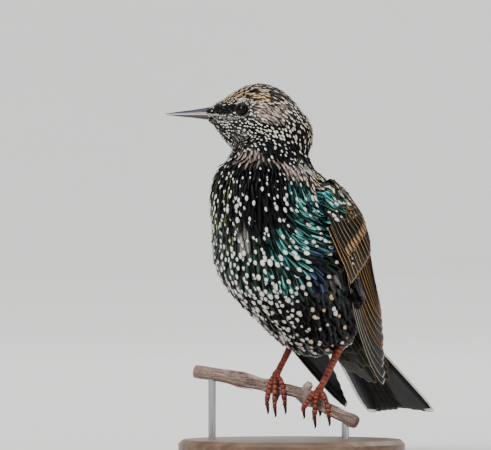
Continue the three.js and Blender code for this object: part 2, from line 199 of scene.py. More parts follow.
def trunk_rings(grow, count, sides):
    """Rings of neck and torso, square to the spine."""
    rings = []
    step = 0.5 / (count - 1)
    for i in range(count):
        t = i / (count - 1)
        forward, height, half, back, belly = between(TRUNK, t)
        run = between(TRUNK, t + step)[:2] - between(TRUNK, t - step)[:2]
        run /= np.linalg.norm(run)
        ring = []
        for turn in circle(sides):
            out = math.sin(turn) * ((back if math.sin(turn) > 0 else belly) + grow)
            ring.append(body(forward - run[1] * out, math.cos(turn) * (half + grow), height + run[0] * out))
        rings.append(ring)
    return rings


def head_rings(grow, count, sides):
    """Rings of the head, square to the face's direction."""
    rings = []
    for i in range(count):
        along, top, bottom, half = between(HEAD, i / (count - 1))
        ring = []
        for turn in circle(sides):
            height = (top + bottom) / 2 + math.sin(turn) * ((top - bottom) / 2 + grow)
            ring.append(face(along, math.cos(turn) * (half + grow), height))
        rings.append(ring)
    return rings


# Materials. Every feather carries its colours as attributes, and its own across and along as a map.
class Nodes:
    """A short way to write a node material."""

    def __init__(self, name):
        self.material = bpy.data.materials.new(name)
        self.material.use_nodes = True
        self.tree = self.material.node_tree
        self.shader = self.tree.nodes["Principled BSDF"]

    def node(self, kind, **settings):
        """A node with its input values or settings."""
        node = self.tree.nodes.new(kind)
        for key, value in settings.items():
            if key in node.inputs:
                node.inputs[key].default_value = value
            else:
                setattr(node, key, value)
        return node

    def link(self, out, into):
        self.tree.links.new(out, into)

    def paint(self, socket, value):
        """Links a value to one of the shader's sockets."""
        self.link(value, self.shader.inputs[socket])

    def math(self, operation, a, b=None):
        """One sum, of numbers or of other nodes' values."""
        node = self.node("ShaderNodeMath", operation=operation)
        for socket, value in zip(node.inputs, (a, b)):
            if isinstance(value, (int, float)):
                socket.default_value = value
            elif value is not None:
                self.link(value, socket)
        return node.outputs[0]

    def add(self, a, b):
        return self.math("ADD", a, b)

    def less(self, a, b):
        return self.math("SUBTRACT", a, b)

    def times(self, a, b):
        return self.math("MULTIPLY", a, b)

    def power(self, a, b):
        return self.math("POWER", a, b)

    def span(self, value, low, high):
        """0 where the value is at low, 1 where it is at high."""
        node = self.node("ShaderNodeMapRange")
        self.link(value, node.inputs["Value"])
        node.inputs["From Min"].default_value = low
        node.inputs["From Max"].default_value = high
        return node.outputs[0]

    def mix(self, factor, a, b):
        """Two colours mixed."""
        node = self.node("ShaderNodeMix", data_type="RGBA")
        for socket, value in ((node.inputs[0], factor), (node.inputs[6], a), (node.inputs[7], b)):
            if isinstance(value, tuple):
                socket.default_value = (*value, 1)
            else:
                self.link(value, socket)
        return node.outputs[2]

    def ramp(self, value, stops):
        """A colour for each value, from stops of place and colour."""
        node = self.node("ShaderNodeValToRGB")
        self.link(value, node.inputs[0])
        while len(node.color_ramp.elements) < len(stops):
            node.color_ramp.elements.new(0.5)
        for element, (place, colour) in zip(node.color_ramp.elements, stops):
            element.position = place
            element.color = (*colour, 1)
        return node.outputs[0]

    def split(self, vector):
        """The x and y of a vector."""
        node = self.node("ShaderNodeSeparateXYZ")
        self.link(vector, node.inputs[0])
        return node.outputs[0], node.outputs[1]

    def joined(self, x, y):
        """A vector of x and y."""
        node = self.node("ShaderNodeCombineXYZ")
        self.link(x, node.inputs[0])
        self.link(y, node.inputs[1])
        return node.outputs[0]

    def attribute(self, title):
        """The colour and alpha of a colour attribute."""
        return self.node("ShaderNodeVertexColor", layer_name=title).outputs

    def parts(self, colour):
        """The red, green and blue of a colour."""
        node = self.node("ShaderNodeSeparateColor")
        self.link(colour, node.inputs[0])
        return node.outputs

    def own_map(self, title):
        """A UV map's vector."""
        return self.node("ShaderNodeUVMap", uv_map=title).outputs[0]

    def place(self):
        """The place on the object."""
        return self.node("ShaderNodeTexCoord").outputs["Object"]

    def stretched(self, vector, scale):
        node = self.node("ShaderNodeMapping")
        self.link(vector, node.inputs["Vector"])
        node.inputs["Scale"].default_value = scale
        return node.outputs[0]

    def noise(self, scale, detail=3.0, vector=None, rough=0.55):
        node = self.node("ShaderNodeTexNoise", Scale=scale, Detail=detail, Roughness=rough)
        self.link(vector or self.place(), node.inputs["Vector"])
        return node.outputs[0]

    def bump(self, height, distance, strength=1.0):
        node = self.node("ShaderNodeBump", Strength=strength, Distance=distance)
        self.link(height, node.inputs["Height"])
        self.paint("Normal", node.outputs[0])

    def finish(self, **sockets):
        """Sets the shader's plain values and gives the material."""
        for key, value in sockets.items():
            self.shader.inputs[key.replace("_", " ")].default_value = value
        return self.material


def feather_mask(n, signed, along, tip_alpha, marks, lead):
    """Where a feather is pale: a heart-shaped spot at its tip, and its pale edges."""
    across = n.math("ABSOLUTE", signed)
    spot, edge = marks
    wide = n.math("DIVIDE", across, n.add(spot, 0.001))
    down = n.less(n.math("DIVIDE", n.less(1.0, along), n.add(tip_alpha, 0.001)), 0.85)
    far = n.math("SQRT", n.add(n.power(wide, 2.0), n.power(n.math("ABSOLUTE", down), 2.0)))
    cleft = n.times(n.math("MAXIMUM", n.less(0.5, wide), 0.0), n.math("MAXIMUM", n.times(down, -1.3), 0.0))
    dot = n.times(n.less(1.06, n.add(far, cleft)), 5.0)
    dot = n.math("MINIMUM", dot, n.math("GREATER_THAN", spot, 0.03))
    side = n.less(n.times(lead, 2.0), 1.0)
    both = n.less(1.0, n.math("ABSOLUTE", side))
    one = n.math("MAXIMUM", n.times(signed, side), 0.0)
    rim = n.math("MAXIMUM", n.add(n.times(across, both), one), n.power(along, 12.0))
    line = n.times(n.less(rim, n.less(1.03, edge)), 16.0)
    clamp = n.node("ShaderNodeClamp")
    n.link(n.math("MAXIMUM", dot, line), clamp.inputs[0])
    return clamp.outputs[0]


def feather_material(name, gloss, metal, strands):
    """Dark web with glossy strands, streaks of painted iridescent sheen and painted highlights along them, a
    pale spot at the tip and pale edges, as the feather's marks say.

    marks holds the spot's half width, the edge's width, a chance value and which edge is pale; the
    alpha of tip holds the spot's half length, and that of tone how strongly the painted sheen streaks and
    painted highlights stand out.
    """
    n = Nodes(name)
    u, along = n.split(n.own_map("Vane"))
    signed = n.less(n.times(u, 2.0), 1.0)
    tone, contrast = n.attribute("tone")
    tip, tip_alpha = n.attribute("tip")
    marks, lead = n.attribute("marks")
    spot, edge, chance = n.parts(marks)
    mask = feather_mask(n, signed, along, tip_alpha, (spot, edge), lead)

    barbs = n.joined(n.add(n.times(signed, strands), n.times(chance, 70.0)),
                     n.add(along, n.times(chance, 17.0)))
    strand = n.noise(1.0, 2.0, barbs)
    lanes = n.joined(n.add(n.times(signed, strands * 0.28), n.times(chance, 50.0)),
                     n.add(n.times(along, 0.6), n.times(chance, 13.0)))
    streak = n.noise(1.0, 1.0, lanes)
    # Painted iridescent sheen: the tone's colour shows only in the lit streaks, and the web between them is
    # near black.
    lit = n.span(streak, 0.5, 0.6)
    # Painted highlights: glints along the strands, in the tone's colour brightened up to three times.
    glint = n.span(n.add(n.times(streak, 0.6), n.times(strand, 0.4)), 0.52, 0.64)
    dark = n.mix(n.times(contrast, 0.94), tone, (0.004, 0.004, 0.005))
    shade = n.mix(lit, dark, tone)
    bright = n.node("ShaderNodeVectorMath", operation="SCALE")
    n.link(tone, bright.inputs[0])
    n.link(n.add(n.times(contrast, 1.9), 1.1), bright.inputs["Scale"])
    shade = n.mix(glint, shade, bright.outputs[0])
    n.paint("Base Color", n.mix(mask, shade, tip))
    n.paint("Metallic", n.times(n.less(1.0, mask), metal))
    n.paint("Roughness", n.add(n.times(mask, 0.75 - gloss), gloss))
    n.bump(strand, 0.00012, 0.5)
    return n.finish(Specular_IOR_Level=0.16)


def plain_material(name, low, high, scale, roughness, bump=0.0, metallic=0.0, stretch=None, ior=1.5,
                   glance=0.5):
    """Two colours mixed by noise, with bump from the same noise."""
    n = Nodes(name)
    vector = n.stretched(n.place(), stretch) if stretch else None
    grain = n.noise(scale, 6.0, vector)
    n.paint("Base Color", n.ramp(grain, [(0.3, low), (0.7, high)]))
    if bump:
        n.bump(grain, bump)
    return n.finish(Roughness=roughness, Metallic=metallic, IOR=ior, Specular_IOR_Level=glance)


def bill_material():
    """Dark horn with a pale cutting edge, from the mark that each point of the bill carries."""
    n = Nodes("bill")
    level, tip_share, _ = n.parts(n.attribute("mark")[0])
    grain = n.noise(700, 4)
    level = n.add(level, n.times(n.less(grain, 0.5), 0.12))
    stops = [(0, (0.03, 0.03, 0.04)), (0.22, (0.03, 0.028, 0.036)), (0.32, (0.12, 0.075, 0.068)),
             (0.42, (0.05, 0.028, 0.028)), (0.5, (0.13, 0.085, 0.075)), (0.55, (0.4, 0.31, 0.25)),
             (0.63, (0.36, 0.32, 0.3)), (0.7, (0.03, 0.036, 0.065)), (1, (0.012, 0.016, 0.03))]
    n.paint("Base Color", n.mix(n.times(tip_share, 0.7), n.ramp(level, stops), (0.13, 0.11, 0.1)))
    n.bump(grain, 0.0001, 0.6)
    return n.finish(Roughness=0.42, Specular_IOR_Level=0.3)


def bark_material():
    """Fibres of bark along the branch, with dark cracks between them."""
    n = Nodes("bark")
    fibre = n.noise(5, 10, n.stretched(n.own_map("Bark"), (3.2, 0.9, 1)), 0.7)
    level = n.add(n.times(fibre, 0.75), n.times(n.noise(70, 4), 0.25))
    stops = [(0.36, (0.02, 0.012, 0.01)), (0.44, (0.12, 0.07, 0.055)), (0.5, (0.3, 0.2, 0.16)),
             (0.57, (0.45, 0.32, 0.27)), (0.68, (0.62, 0.5, 0.43))]
    n.paint("Base Color", n.ramp(level, stops))
    n.bump(level, 0.0016, 1.0)
    return n.finish(Roughness=0.85)


def scale_material():
    """Red-brown scutes across the front of each toe and shank, small scales behind, and dark seams."""
    n = Nodes("scutes")
    scales = n.own_map("Scales")
    around, rows = n.split(scales)
    step = n.times(n.math("ABSOLUTE", n.less(n.math("FRACT", rows), 0.5)), 2.0)
    cell = n.node("ShaderNodeTexVoronoi", Scale=2.2, Randomness=0.5, feature="DISTANCE_TO_EDGE")
    n.link(scales, cell.inputs["Vector"])
    net = n.less(1.0, n.times(cell.outputs["Distance"], 3.0))
    front = n.math("LESS_THAN", around, 1.35)
    ridge = n.add(n.times(step, front), n.times(net, n.less(1.0, front)))
    stops = [(0.3, (0.075, 0.011, 0.006)), (0.5, (0.21, 0.032, 0.014)), (0.7, (0.36, 0.08, 0.038))]
    skin = n.ramp(n.noise(260, 4), stops)
    n.paint("Base Color", n.mix(n.span(ridge, 0.98, 0.7), (0.035, 0.01, 0.006), skin))
    n.bump(n.times(n.power(ridge, 3.0), -1.0), 0.0004, 1.0)
    return n.finish(Roughness=0.36)


def wood_material():
    """Oiled wood, with its grain along the base."""
    n = Nodes("stand_wood")
    grain = n.noise(210, 8, n.stretched(n.place(), (0.12, 1, 1)), 0.6)
    stops = [(0.3, (0.075, 0.04, 0.022)), (0.5, (0.13, 0.072, 0.04)), (0.68, (0.2, 0.12, 0.07))]
    n.paint("Base Color", n.ramp(grain, stops))
    n.bump(grain, 0.00006)
    return n.finish(Roughness=0.42)


COAT = feather_material("coat", 0.38, 0.5, 7.0)
FLIGHT = feather_material("flight_feathers", 0.5, 0.3, 9.0)
SKIN = plain_material("under_coat", (0.006, 0.006, 0.007), (0.02, 0.02, 0.022), 900, 0.7, 0.0002)
EYE = plain_material("eye", (0.002, 0.0015, 0.0015), (0.006, 0.0035, 0.0025), 300, 0.04, ior=1.33, glance=0.3)
LID = plain_material("eyelid", (0.006, 0.005, 0.005), (0.022, 0.018, 0.016), 1500, 0.55, 0.0002)
NOSTRIL = plain_material("nostril", (0.004, 0.003, 0.003), (0.012, 0.01, 0.009), 800, 0.5)
GAPE_SKIN = plain_material("gape", (0.16, 0.1, 0.085), (0.42, 0.35, 0.31), 900, 0.5, 0.0001)
CLAW = plain_material("claw", (0.015, 0.012, 0.01), (0.05, 0.04, 0.032), 500, 0.35, 0.0001)
FIBRE = plain_material("bark_fibre", (0.09, 0.055, 0.045), (0.6, 0.46, 0.39), 160, 0.9, 0.0004)
STEEL = plain_material("rod_steel", (0.42, 0.42, 0.43), (0.58, 0.58, 0.58), 400, 0.32, 0.00003, 1.0,
                       (1, 1, 0.05))
PAPER = plain_material("paper", (0.8, 0.79, 0.77), (0.83, 0.82, 0.8), 2, 0.9)


# Vanes. Rows run from root to tip; each ring has the columns on top and one point under the shaft.
BAKE_PATCH = 0.003
BAKE_GRID = 24


def vane_points(lines, ups, halves, columns, camber, thick):
    """Points of every vane, by feather, row and column."""
    run = unit(np.gradient(lines, axis=1))
    side = unit(np.cross(run, ups))
    ups = np.cross(side, run)
    across = np.linspace(-1, 1, columns)
    camber = np.broadcast_to(np.asarray(camber, float), (len(lines),))[:, None, None, None]
    wide = halves[:, :, None, None] * across[None, None, :, None]
    drop = halves[:, :, None, None] * camber * across[None, None, :, None] ** 2
    top = lines[:, :, None, :] + side[:, :, None, :] * wide - ups[:, :, None, :] * drop
    under = (lines - ups * thick)[:, :, None, :]
    return np.concatenate([top, under], axis=2)


def vane_faces(rows, ring):
    """The four-sided faces of one vane, and its two ends."""
    index = np.arange(rows * ring).reshape(rows, ring)
    quads = []
    for r in range(rows - 1):
        for c in range(ring):
            n = (c + 1) % ring
            quads.append((index[r, c], index[r, n], index[r + 1, n], index[r + 1, c]))
    return np.array(quads), np.array([index[0][::-1], index[-1]])


def vane_maps(lines, columns, places):
    """Across and along of every point, and its place on the map that the looks are baked to."""
    count, rows = lines.shape[:2]
    u = np.tile(np.append(np.linspace(0, 1, columns), 0.5), rows)
    length = np.linalg.norm(np.diff(lines, axis=1), axis=2).cumsum(1)
    v = np.concatenate([np.zeros((count, 1)), length / np.maximum(length[:, -1:], 1e-6)], axis=1)
    vane = np.stack([np.tile(u, (count, 1)), np.repeat(v, columns + 1, axis=1)], axis=2).reshape(-1, 2)
    if places is None:
        row, column = np.divmod(np.arange(count), BAKE_GRID)
        places = np.stack([(column + 0.5) / BAKE_GRID, (row + 0.5) / (count // BAKE_GRID + 1)], 1)
    bake = np.repeat(places, rows * (columns + 1), axis=0) + (vane - 0.5) * BAKE_PATCH
    return {"OFBake": bake, "Vane": vane}


def build_vanes(name, shapes, marks, material, replaces=(), columns=3, camber=0.3, thick=0.12,
                places=None):
    """One joined mesh of closed vanes, from their centre lines, upward directions, half widths and marks."""
    lines, ups, halves = (np.asarray(part, float) for part in shapes)
    count, rows = halves.shape
    ring = columns + 1
    step = rows * ring
    points = vane_points(lines, unit(ups), halves, columns, camber, thick)
    quads, ends = vane_faces(rows, ring)
    shift = (np.arange(count) * step)[:, None, None]
    all_quads = (quads[None] + shift).reshape(-1, 4)
    all_ends = (ends[None] + shift).reshape(-1, ring)
    loops = np.concatenate([all_quads.ravel(), all_ends.ravel()])
    totals = np.concatenate([np.full(len(all_quads), 4), np.full(len(all_ends), ring)])
    mesh = bpy.data.meshes.new(name)
    mesh.vertices.add(count * step)
    mesh.vertices.foreach_set("co", (points.reshape(-1, 3) * MM).ravel())
    mesh.loops.add(len(loops))
    mesh.loops.foreach_set("vertex_index", loops)
    mesh.polygons.add(len(totals))
    mesh.polygons.foreach_set("loop_start", np.concatenate([[0], np.cumsum(totals)[:-1]]))
    mesh.polygons.foreach_set("loop_total", totals)
    mesh.update(calc_edges=True)
    for title, values in vane_maps(lines, columns, places).items():
        mesh.uv_layers.new(name=title).data.foreach_set("uv", values[loops].ravel())
    for title, values in marks.items():
        layer = mesh.color_attributes.new(title, "FLOAT_COLOR", "POINT")
        rgba = np.ones((count, 4))
        rgba[:, :values.shape[1]] = values
        layer.data.foreach_set("color", np.repeat(rgba, step, axis=0).ravel())
    return add_object(name, mesh, material, replaces)


class Gathered:
    """Feathers gathered one by one: their shapes, colours and marks."""

    def __init__(self):
        self.shapes, self.tone, self.tip, self.marks = [], [], [], []

    def add(self, shape, tone, tip, marks):
        self.shapes.append(shape)
        self.tone.append(tone)
        self.tip.append(tip)
        self.marks.append(marks)

    def build(self, name, material, replaces, columns, camber, thick):
        """All of them as one mesh."""
        colours = {"tone": np.array(self.tone), "tip": np.array(self.tip), "marks": np.array(self.marks)}
        build_vanes(name, zip(*self.shapes), colours, material, replaces, columns, camber, thick)


# The folded wings, in the same frames as the solids: share of the length, front, back and lift.
WING_ROWS = [
    (-0.06, -1, 9, 0), (0.05, -6, 16, 4.6), (0.2, -9, 22, 7.9), (0.35, -11, 24, 7.2), (0.5, -11, 23, 5.4),
    (0.65, -9.5, 18, 3.5), (0.8, -7.5, 13, 2), (0.92, -4, 7, 0.8), (1, -1, 1.5, 0),
]
WING_WRAP = 15.0


class Wing:
    """A folded wing's curved sheet: x runs to the tip, y to the back, z away from the body."""

    def __init__(self, side):
        self.side = side
        self.origin = body(14, 28.5, 117) if side > 0 else body(6, -27.5, 111)
        tip = body(-67.2, 17, 31) if side > 0 else body(-80.8, -15, 19)
        self.length = np.linalg.norm(tip - self.origin)
        self.x = unit(tip - self.origin)
        out = LEFT * side
        self.z = unit(out - out.dot(self.x) * self.x)
        self.y = np.cross(self.z, self.x) * side

    def height(self, share, across):
        """The sheet's height, which falls where it wraps round the back."""
        lift = between(WING_ROWS, (share - WING_ROWS[0][0]) / (1 - WING_ROWS[0][0]))[3]
        wrap = WING_WRAP * (1 - 0.75 * smooth(0.45, 0.85, share))
        return lift - wrap * max(0.0, (across - 2) / 22) ** 2

    def point(self, share, across, over):
        place = self.origin + self.x * share * self.length + self.y * across
        return place + self.z * (self.height(share, across) + over)

    def sheet(self, x, y, over):
        """The same point, with x as a length in millimetres."""
        return self.point(x / self.length, y, over)

    def local(self, points):
        """Share of the length, place across and height of points, in the wing's frame."""
        q = points - self.origin
        return q @ self.x / self.length, q @ self.y, q @ self.z

    def core(self, reach, thick, lift, slope=0.0, sides=28, count=26):
        """A flat form along the sheet, out to a share of the rows."""
        rings = []
        for i in range(count):
            t = i / (count - 1)
            share, front, back, _ = between(WING_ROWS, t * reach)
            middle, half = (front + back) / 2, (back - front) / 2 * (1 - 0.45 * t ** 3 * (reach < 0.9))
            depth = thick * math.sqrt(max(0.04, 1 - t ** 2))
            ring = []
            for a in circle(sides):
                across = middle + math.cos(a) * half
                ring.append(self.point(share, across, lift + slope * across + math.sin(a) * depth))
            rings.append(ring)
        return loft(rings)


WINGS = {"left": Wing(1), "right": Wing(-1)}


def eye_frame(side):
    """Centre of an eye, the way it looks, the way forward along the face, and the way up."""
    centre = face(EYE_ALONG, side * EYE_SIDE, EYE_HEIGHT)
    out = unit(FACE_LEFT * side + 0.16 * FACE + 0.1 * UP)
    ahead = unit(FACE - out * FACE.dot(out))
    above = unit(UP - out * UP.dot(out) - ahead * UP.dot(ahead))
    return centre, out, ahead, above


# The skin: neck, torso and head in one form, inside the coat's depth.
VOXEL = 1.1
SOCKET_FLOOR, SOCKET_RISE = 0.7, 2.2
SOCKET_INNER, SOCKET_OUTER = 3.2, 5.2


def shoulder(side, grow):
    """The pad of feathers that fills the corner between the neck and the bend of a wing."""
    forward, left, height = SHOULDER_AT
    centre = body(forward, side * left, height)
    size = [radius + grow for radius in SHOULDER_SIZE]
    rings = []
    for a in np.linspace(-math.pi / 2 + 0.02, math.pi / 2 - 0.02, 24):
        ring = []
        for b in circle(36):
            flat = FORWARD * math.cos(b) * size[0] + LEFT * math.sin(b) * size[1]
            ring.append(centre + flat * math.cos(a) + UP * math.sin(a) * size[2])
        rings.append(ring)
    return loft(rings)


def make_skin():
    """Trunk, head and shoulders melted into one surface, with a hollow for each eye."""
    forms = [loft(trunk_rings(-TRUNK_COAT, 60, 72)), loft(head_rings(-HEAD_COAT, 48, 64)),
             shoulder(1, -TRUNK_COAT), shoulder(-1, -TRUNK_COAT)]
    obj = new_object("skin", together(forms), SKIN, ("head", "neck", "torso"))
    remesh = obj.modifiers.new("remesh", "REMESH")
    remesh.mode = "VOXEL"
    remesh.voxel_size = VOXEL * MM
    soften = obj.modifiers.new("soften", "SMOOTH")
    soften.factor = 0.5
    soften.iterations = 12
    evaluated = obj.evaluated_get(bpy.context.evaluated_depsgraph_get())
    mesh = bpy.data.meshes.new_from_object(evaluated)
    obj.modifiers.clear()
    obj.data = mesh
    points = get_points(mesh)
    for side, _ in SIDES:
        centre, out, _, _ = eye_frame(side)
        height = (points - centre) @ out
        wide = np.linalg.norm(points - centre - np.outer(height, out), axis=1)
        floor = SOCKET_FLOOR + SOCKET_RISE * smooth(SOCKET_INNER, SOCKET_OUTER, wide)
        deep = (wide < SOCKET_OUTER) & (height > floor)
        points[deep] -= np.outer((height - floor)[deep], out)
    mesh.vertices.foreach_set("co", (points * MM).ravel())
    mesh.update()
    mesh.shade_smooth()
    return obj


class Ground:
    """What the coat lies on: the skin and, under the shoulders and flanks, the folded wings."""

    def __init__(self, mesh):
        self.points = get_points(mesh)
        mesh.calc_loop_triangles()
        corners = np.empty(len(mesh.loop_triangles) * 3, int)
        mesh.loop_triangles.foreach_get("vertices", corners)
        self.triangles = corners.reshape(-1, 3)
        skin = (self.points, [tuple(t) for t in self.triangles])
        blades = [wing.core(1, 2.6, 1.2, 0.07) for wing in WINGS.values()]
        self.tree, self.skin_tree = (self.search(form) for form in (together([skin, *blades]), skin))

    @staticmethod
    def search(form):
        points, faces = form
        return BVHTree.FromPolygons([Vector(p) for p in points], faces)

    def drop(self, point, normal, reach=9.0, wings=True):
        """The outermost surface under a point, seen along its normal."""
        tree = self.tree if wings else self.skin_tree
        hit, up, _, _ = tree.ray_cast(Vector(point + normal * reach), Vector(-normal), 2.4 * reach)
        if hit is None:
            return None
        return np.array(hit), np.array(up)

    def sample(self, rng, tries, spacing, keep):
        """Scattered roots no closer than spacing(points); keep(points, normals) says where they may be."""
        a, b, c = (self.points[self.triangles[:, k]] for k in range(3))
        area = np.linalg.norm(np.cross(b - a, c - a), axis=1)
        pick = rng.choice(len(area), tries, p=area / area.sum())
        r1, r2 = np.sqrt(rng.random(tries))[:, None], rng.random(tries)[:, None]
        points = a[pick] * (1 - r1) + b[pick] * (r1 * (1 - r2)) + c[pick] * (r1 * r2)
        normals = unit(np.cross(b - a, c - a))[pick]
        good = keep(points, normals)
        points, normals = points[good], normals[good]
        gap = spacing(points, normals)
        cell = gap.max()
        around = [(x, y, z) for x in (-1, 0, 1) for y in (-1, 0, 1) for z in (-1, 0, 1)]
        grid, chosen = {}, []
        for i, (p, g) in enumerate(zip(points, gap)):
            key = tuple((p // cell).astype(int))
            cells = [(key[0] + x, key[1] + y, key[2] + z) for x, y, z in around]
            near = [j for place in cells for j in grid.get(place, ())]
            if near and (np.sum((points[near] - p) ** 2, axis=1) < g * g).any():
                continue
            grid.setdefault(key, []).append(i)
            chosen.append(i)
        return points[chosen], normals[chosen]


GROUND = Ground(make_skin().data)

# The spine, for places and directions on the trunk.
SPINE_POINTS = 80
SPINE = np.array([between(TRUNK, t)[:2] for t in np.linspace(0, 1, SPINE_POINTS)])
SPINE_RUN = unit(np.gradient(SPINE, axis=0))
VIEW_MIDDLE, HEAD_LEVEL = -22, 157


class Places:
    """Where points lie: in the body's lengths, in the head's, and how much each belongs to the head."""

    def __init__(self, points, normals):
        self.points, self.normals = points, normals
        q = points - np.array([AXIS_X, 0, LIFT])
        self.forward, self.left, self.height = q @ FORWARD, q @ LEFT, q[:, 2]
        h = points - np.array([*HEAD_CENTRE, LIFT])
        self.along, self.cheek = h @ FACE, h @ FACE_LEFT
        self.across = points[:, 0] - VIEW_MIDDLE
        self.near = smooth(-0.1, 0.35, -normals[:, 1])
        self.head = smooth(139, 149, self.height + 0.12 * self.along)
        ahead = self.forward[:, None] - SPINE[None, :, 0]
        above = self.height[:, None] - SPINE[None, :, 1]
        nearest = (ahead ** 2 + above ** 2).argmin(1)
        run = SPINE_RUN[nearest]
        self.spine = nearest / (SPINE_POINTS - 1)
        self.tailward = -(run[:, :1] * FORWARD + run[:, 1:] * UP)
        self.ventral = normals @ FORWARD * 0.85 - normals[:, 2] * 0.35

    def flow(self):
        """The lie of the coat."""
        back = smooth(12, -20, self.along)[:, None] * 0.9 + smooth(152, 143, self.height)[:, None] * 0.6
        down = -UP * np.minimum(back + 0.12, 1.2)
        on_head = unit(-FACE * (1 - 0.55 * np.minimum(back, 1)) + down)
        spread = np.sign(self.left)[:, None] * LEFT * 0.12 * smooth(5, 25, abs(self.left))[:, None]
        on_trunk = unit(self.tailward + spread)
        fan = (0.55 + 0.5 * smooth(104, 96, self.height)) * smooth(12, 22, abs(self.left))
        fan *= band(self.height, 90, 126, 4) * smooth(-0.3, 0.1, self.ventral)
        over = np.where(self.left[:, None] > 0, WINGS["left"].y, WINGS["right"].y)
        on_trunk = unit(on_trunk + over * fan[:, None])
        way = on_trunk * (1 - self.head[:, None]) + on_head * self.head[:, None]
        way -= self.normals * np.sum(way * self.normals, axis=1, keepdims=True)
        return unit(way)

    def unwrap(self):
        """A place for each root on an unwrap of the body's own form: the head's half, then the trunk's."""
        turn = np.arctan2(self.left, self.forward - np.interp(self.height, SPINE[:, 1], SPINE[:, 0]))
        cheek = np.arctan2(self.cheek, self.height - HEAD_LEVEL)
        on_head = self.head > 0.5
        u = np.where(on_head, 0.03, 0.53) + 0.44 * (np.where(on_head, cheek, turn) / (2 * math.pi) + 0.5)
        v = 0.03 + 0.94 * np.where(on_head, (26 - self.along) / 52, self.spine)
        return np.clip(np.stack([u, v], 1), 0.01, 0.99)


# Colours of the plumage, as linear red, green and blue. Teal, green, violet, dusk and bronze are painted
# iridescent sheen; through the coat's metallic share they also tint its real reflections.
BLACK = (0.005, 0.005, 0.006)
TEAL_SHEEN = (0.09, 0.38, 0.35)
GREEN_SHEEN = (0.08, 0.115, 0.03)
VIOLET_SHEEN = (0.035, 0.04, 0.13)
DUSK_SHEEN = (0.02, 0.045, 0.035)
BRONZE_SHEEN = (0.03, 0.045, 0.028)
SOOT = (0.02, 0.017, 0.016)
TUFT_GREY = (0.13, 0.11, 0.1)
GREY_BUFF = (0.53, 0.42, 0.35)
GREY_WHITE = (0.55, 0.52, 0.48)
WHITE_TIP = (0.86, 0.83, 0.77)
BUFF_TIP = (0.68, 0.42, 0.19)
CREAM_TIP = (0.8, 0.66, 0.46)

# Patches on the near side: place across and height in the view's plane, half sizes, tilt, colour, strength.
PATCHES = [
    (3.2, 141.0, 5.8, 3.6, 0, GREY_BUFF, 1.0),
    (17.5, 137.3, 7.5, 2.2, -22, GREY_BUFF, 0.95),
    (27.0, 137.2, 4.2, 1.8, -30, GREY_WHITE, 0.75),
    (-3.2, 149.0, 3.2, 4.2, 10, GREY_WHITE, 0.75),
    (-2.0, 107.0, 3.0, 6.5, 10, GREY_WHITE, 0.5),
]


def laid(base, colour, share):
    """A colour laid over every row of others, as strongly as its share."""
    share = np.clip(share, 0, 1)[:, None]
    return base * (1 - share) + np.array(colour)[None] * share


def blend(base, *layers):
    """Layers over a first colour, each a colour and how strongly it shows."""
    base = np.array(base, float)[None]
    for colour, share in layers:
        base = laid(base, colour, share)
    return base


def feather_gap(points, normals):
    """The least distance between roots."""
    p = Places(points, normals)
    head = 0.92 + 0.45 * smooth(12, -14, p.along) + 0.2 * smooth(160, 150, p.height)
    trunk = 1.6 + 0.85 * smooth(124, 98, p.height) + 0.25 * smooth(0.1, -0.3, p.ventral)
    return trunk * (1 - p.head) + head * p.head


# Room kept free of roots: round each eye, at the bill, and under the folded wings.
EYE_ROOM = 3.6
BILL_ROOM = 25.2
WING_FRONT, WING_BACK = -11, 16
WING_REACH, WING_DEEP = 0.82, -14


def clear_of_parts(points, normals):
    """Roots keep off the eyes, the bill and what the folded wings hide."""
    p = Places(points, normals)
    keep = np.ones(len(points), bool)
    for side, name in SIDES:
        eye = face(EYE_ALONG, side * (EYE_SIDE + 1.8), EYE_HEIGHT)
        keep &= np.linalg.norm(points - eye, axis=1) > EYE_ROOM
        wing = WINGS[name]
        share, across, over = wing.local(points)
        front = WING_FRONT - 4.5 * band(share, 0.05, 0.24, 0.02) + 3.5 * band(share, 0.28, 0.36, 0.02)
        under = (share > 0.0) & (share < WING_REACH) & (across > front) & (across < WING_BACK)
        under &= (normals @ wing.z > 0.05) & (over > WING_DEEP)
        keep &= ~under
    keep &= ~((p.along > BILL_ROOM) & (p.head > 0.5))
    return keep


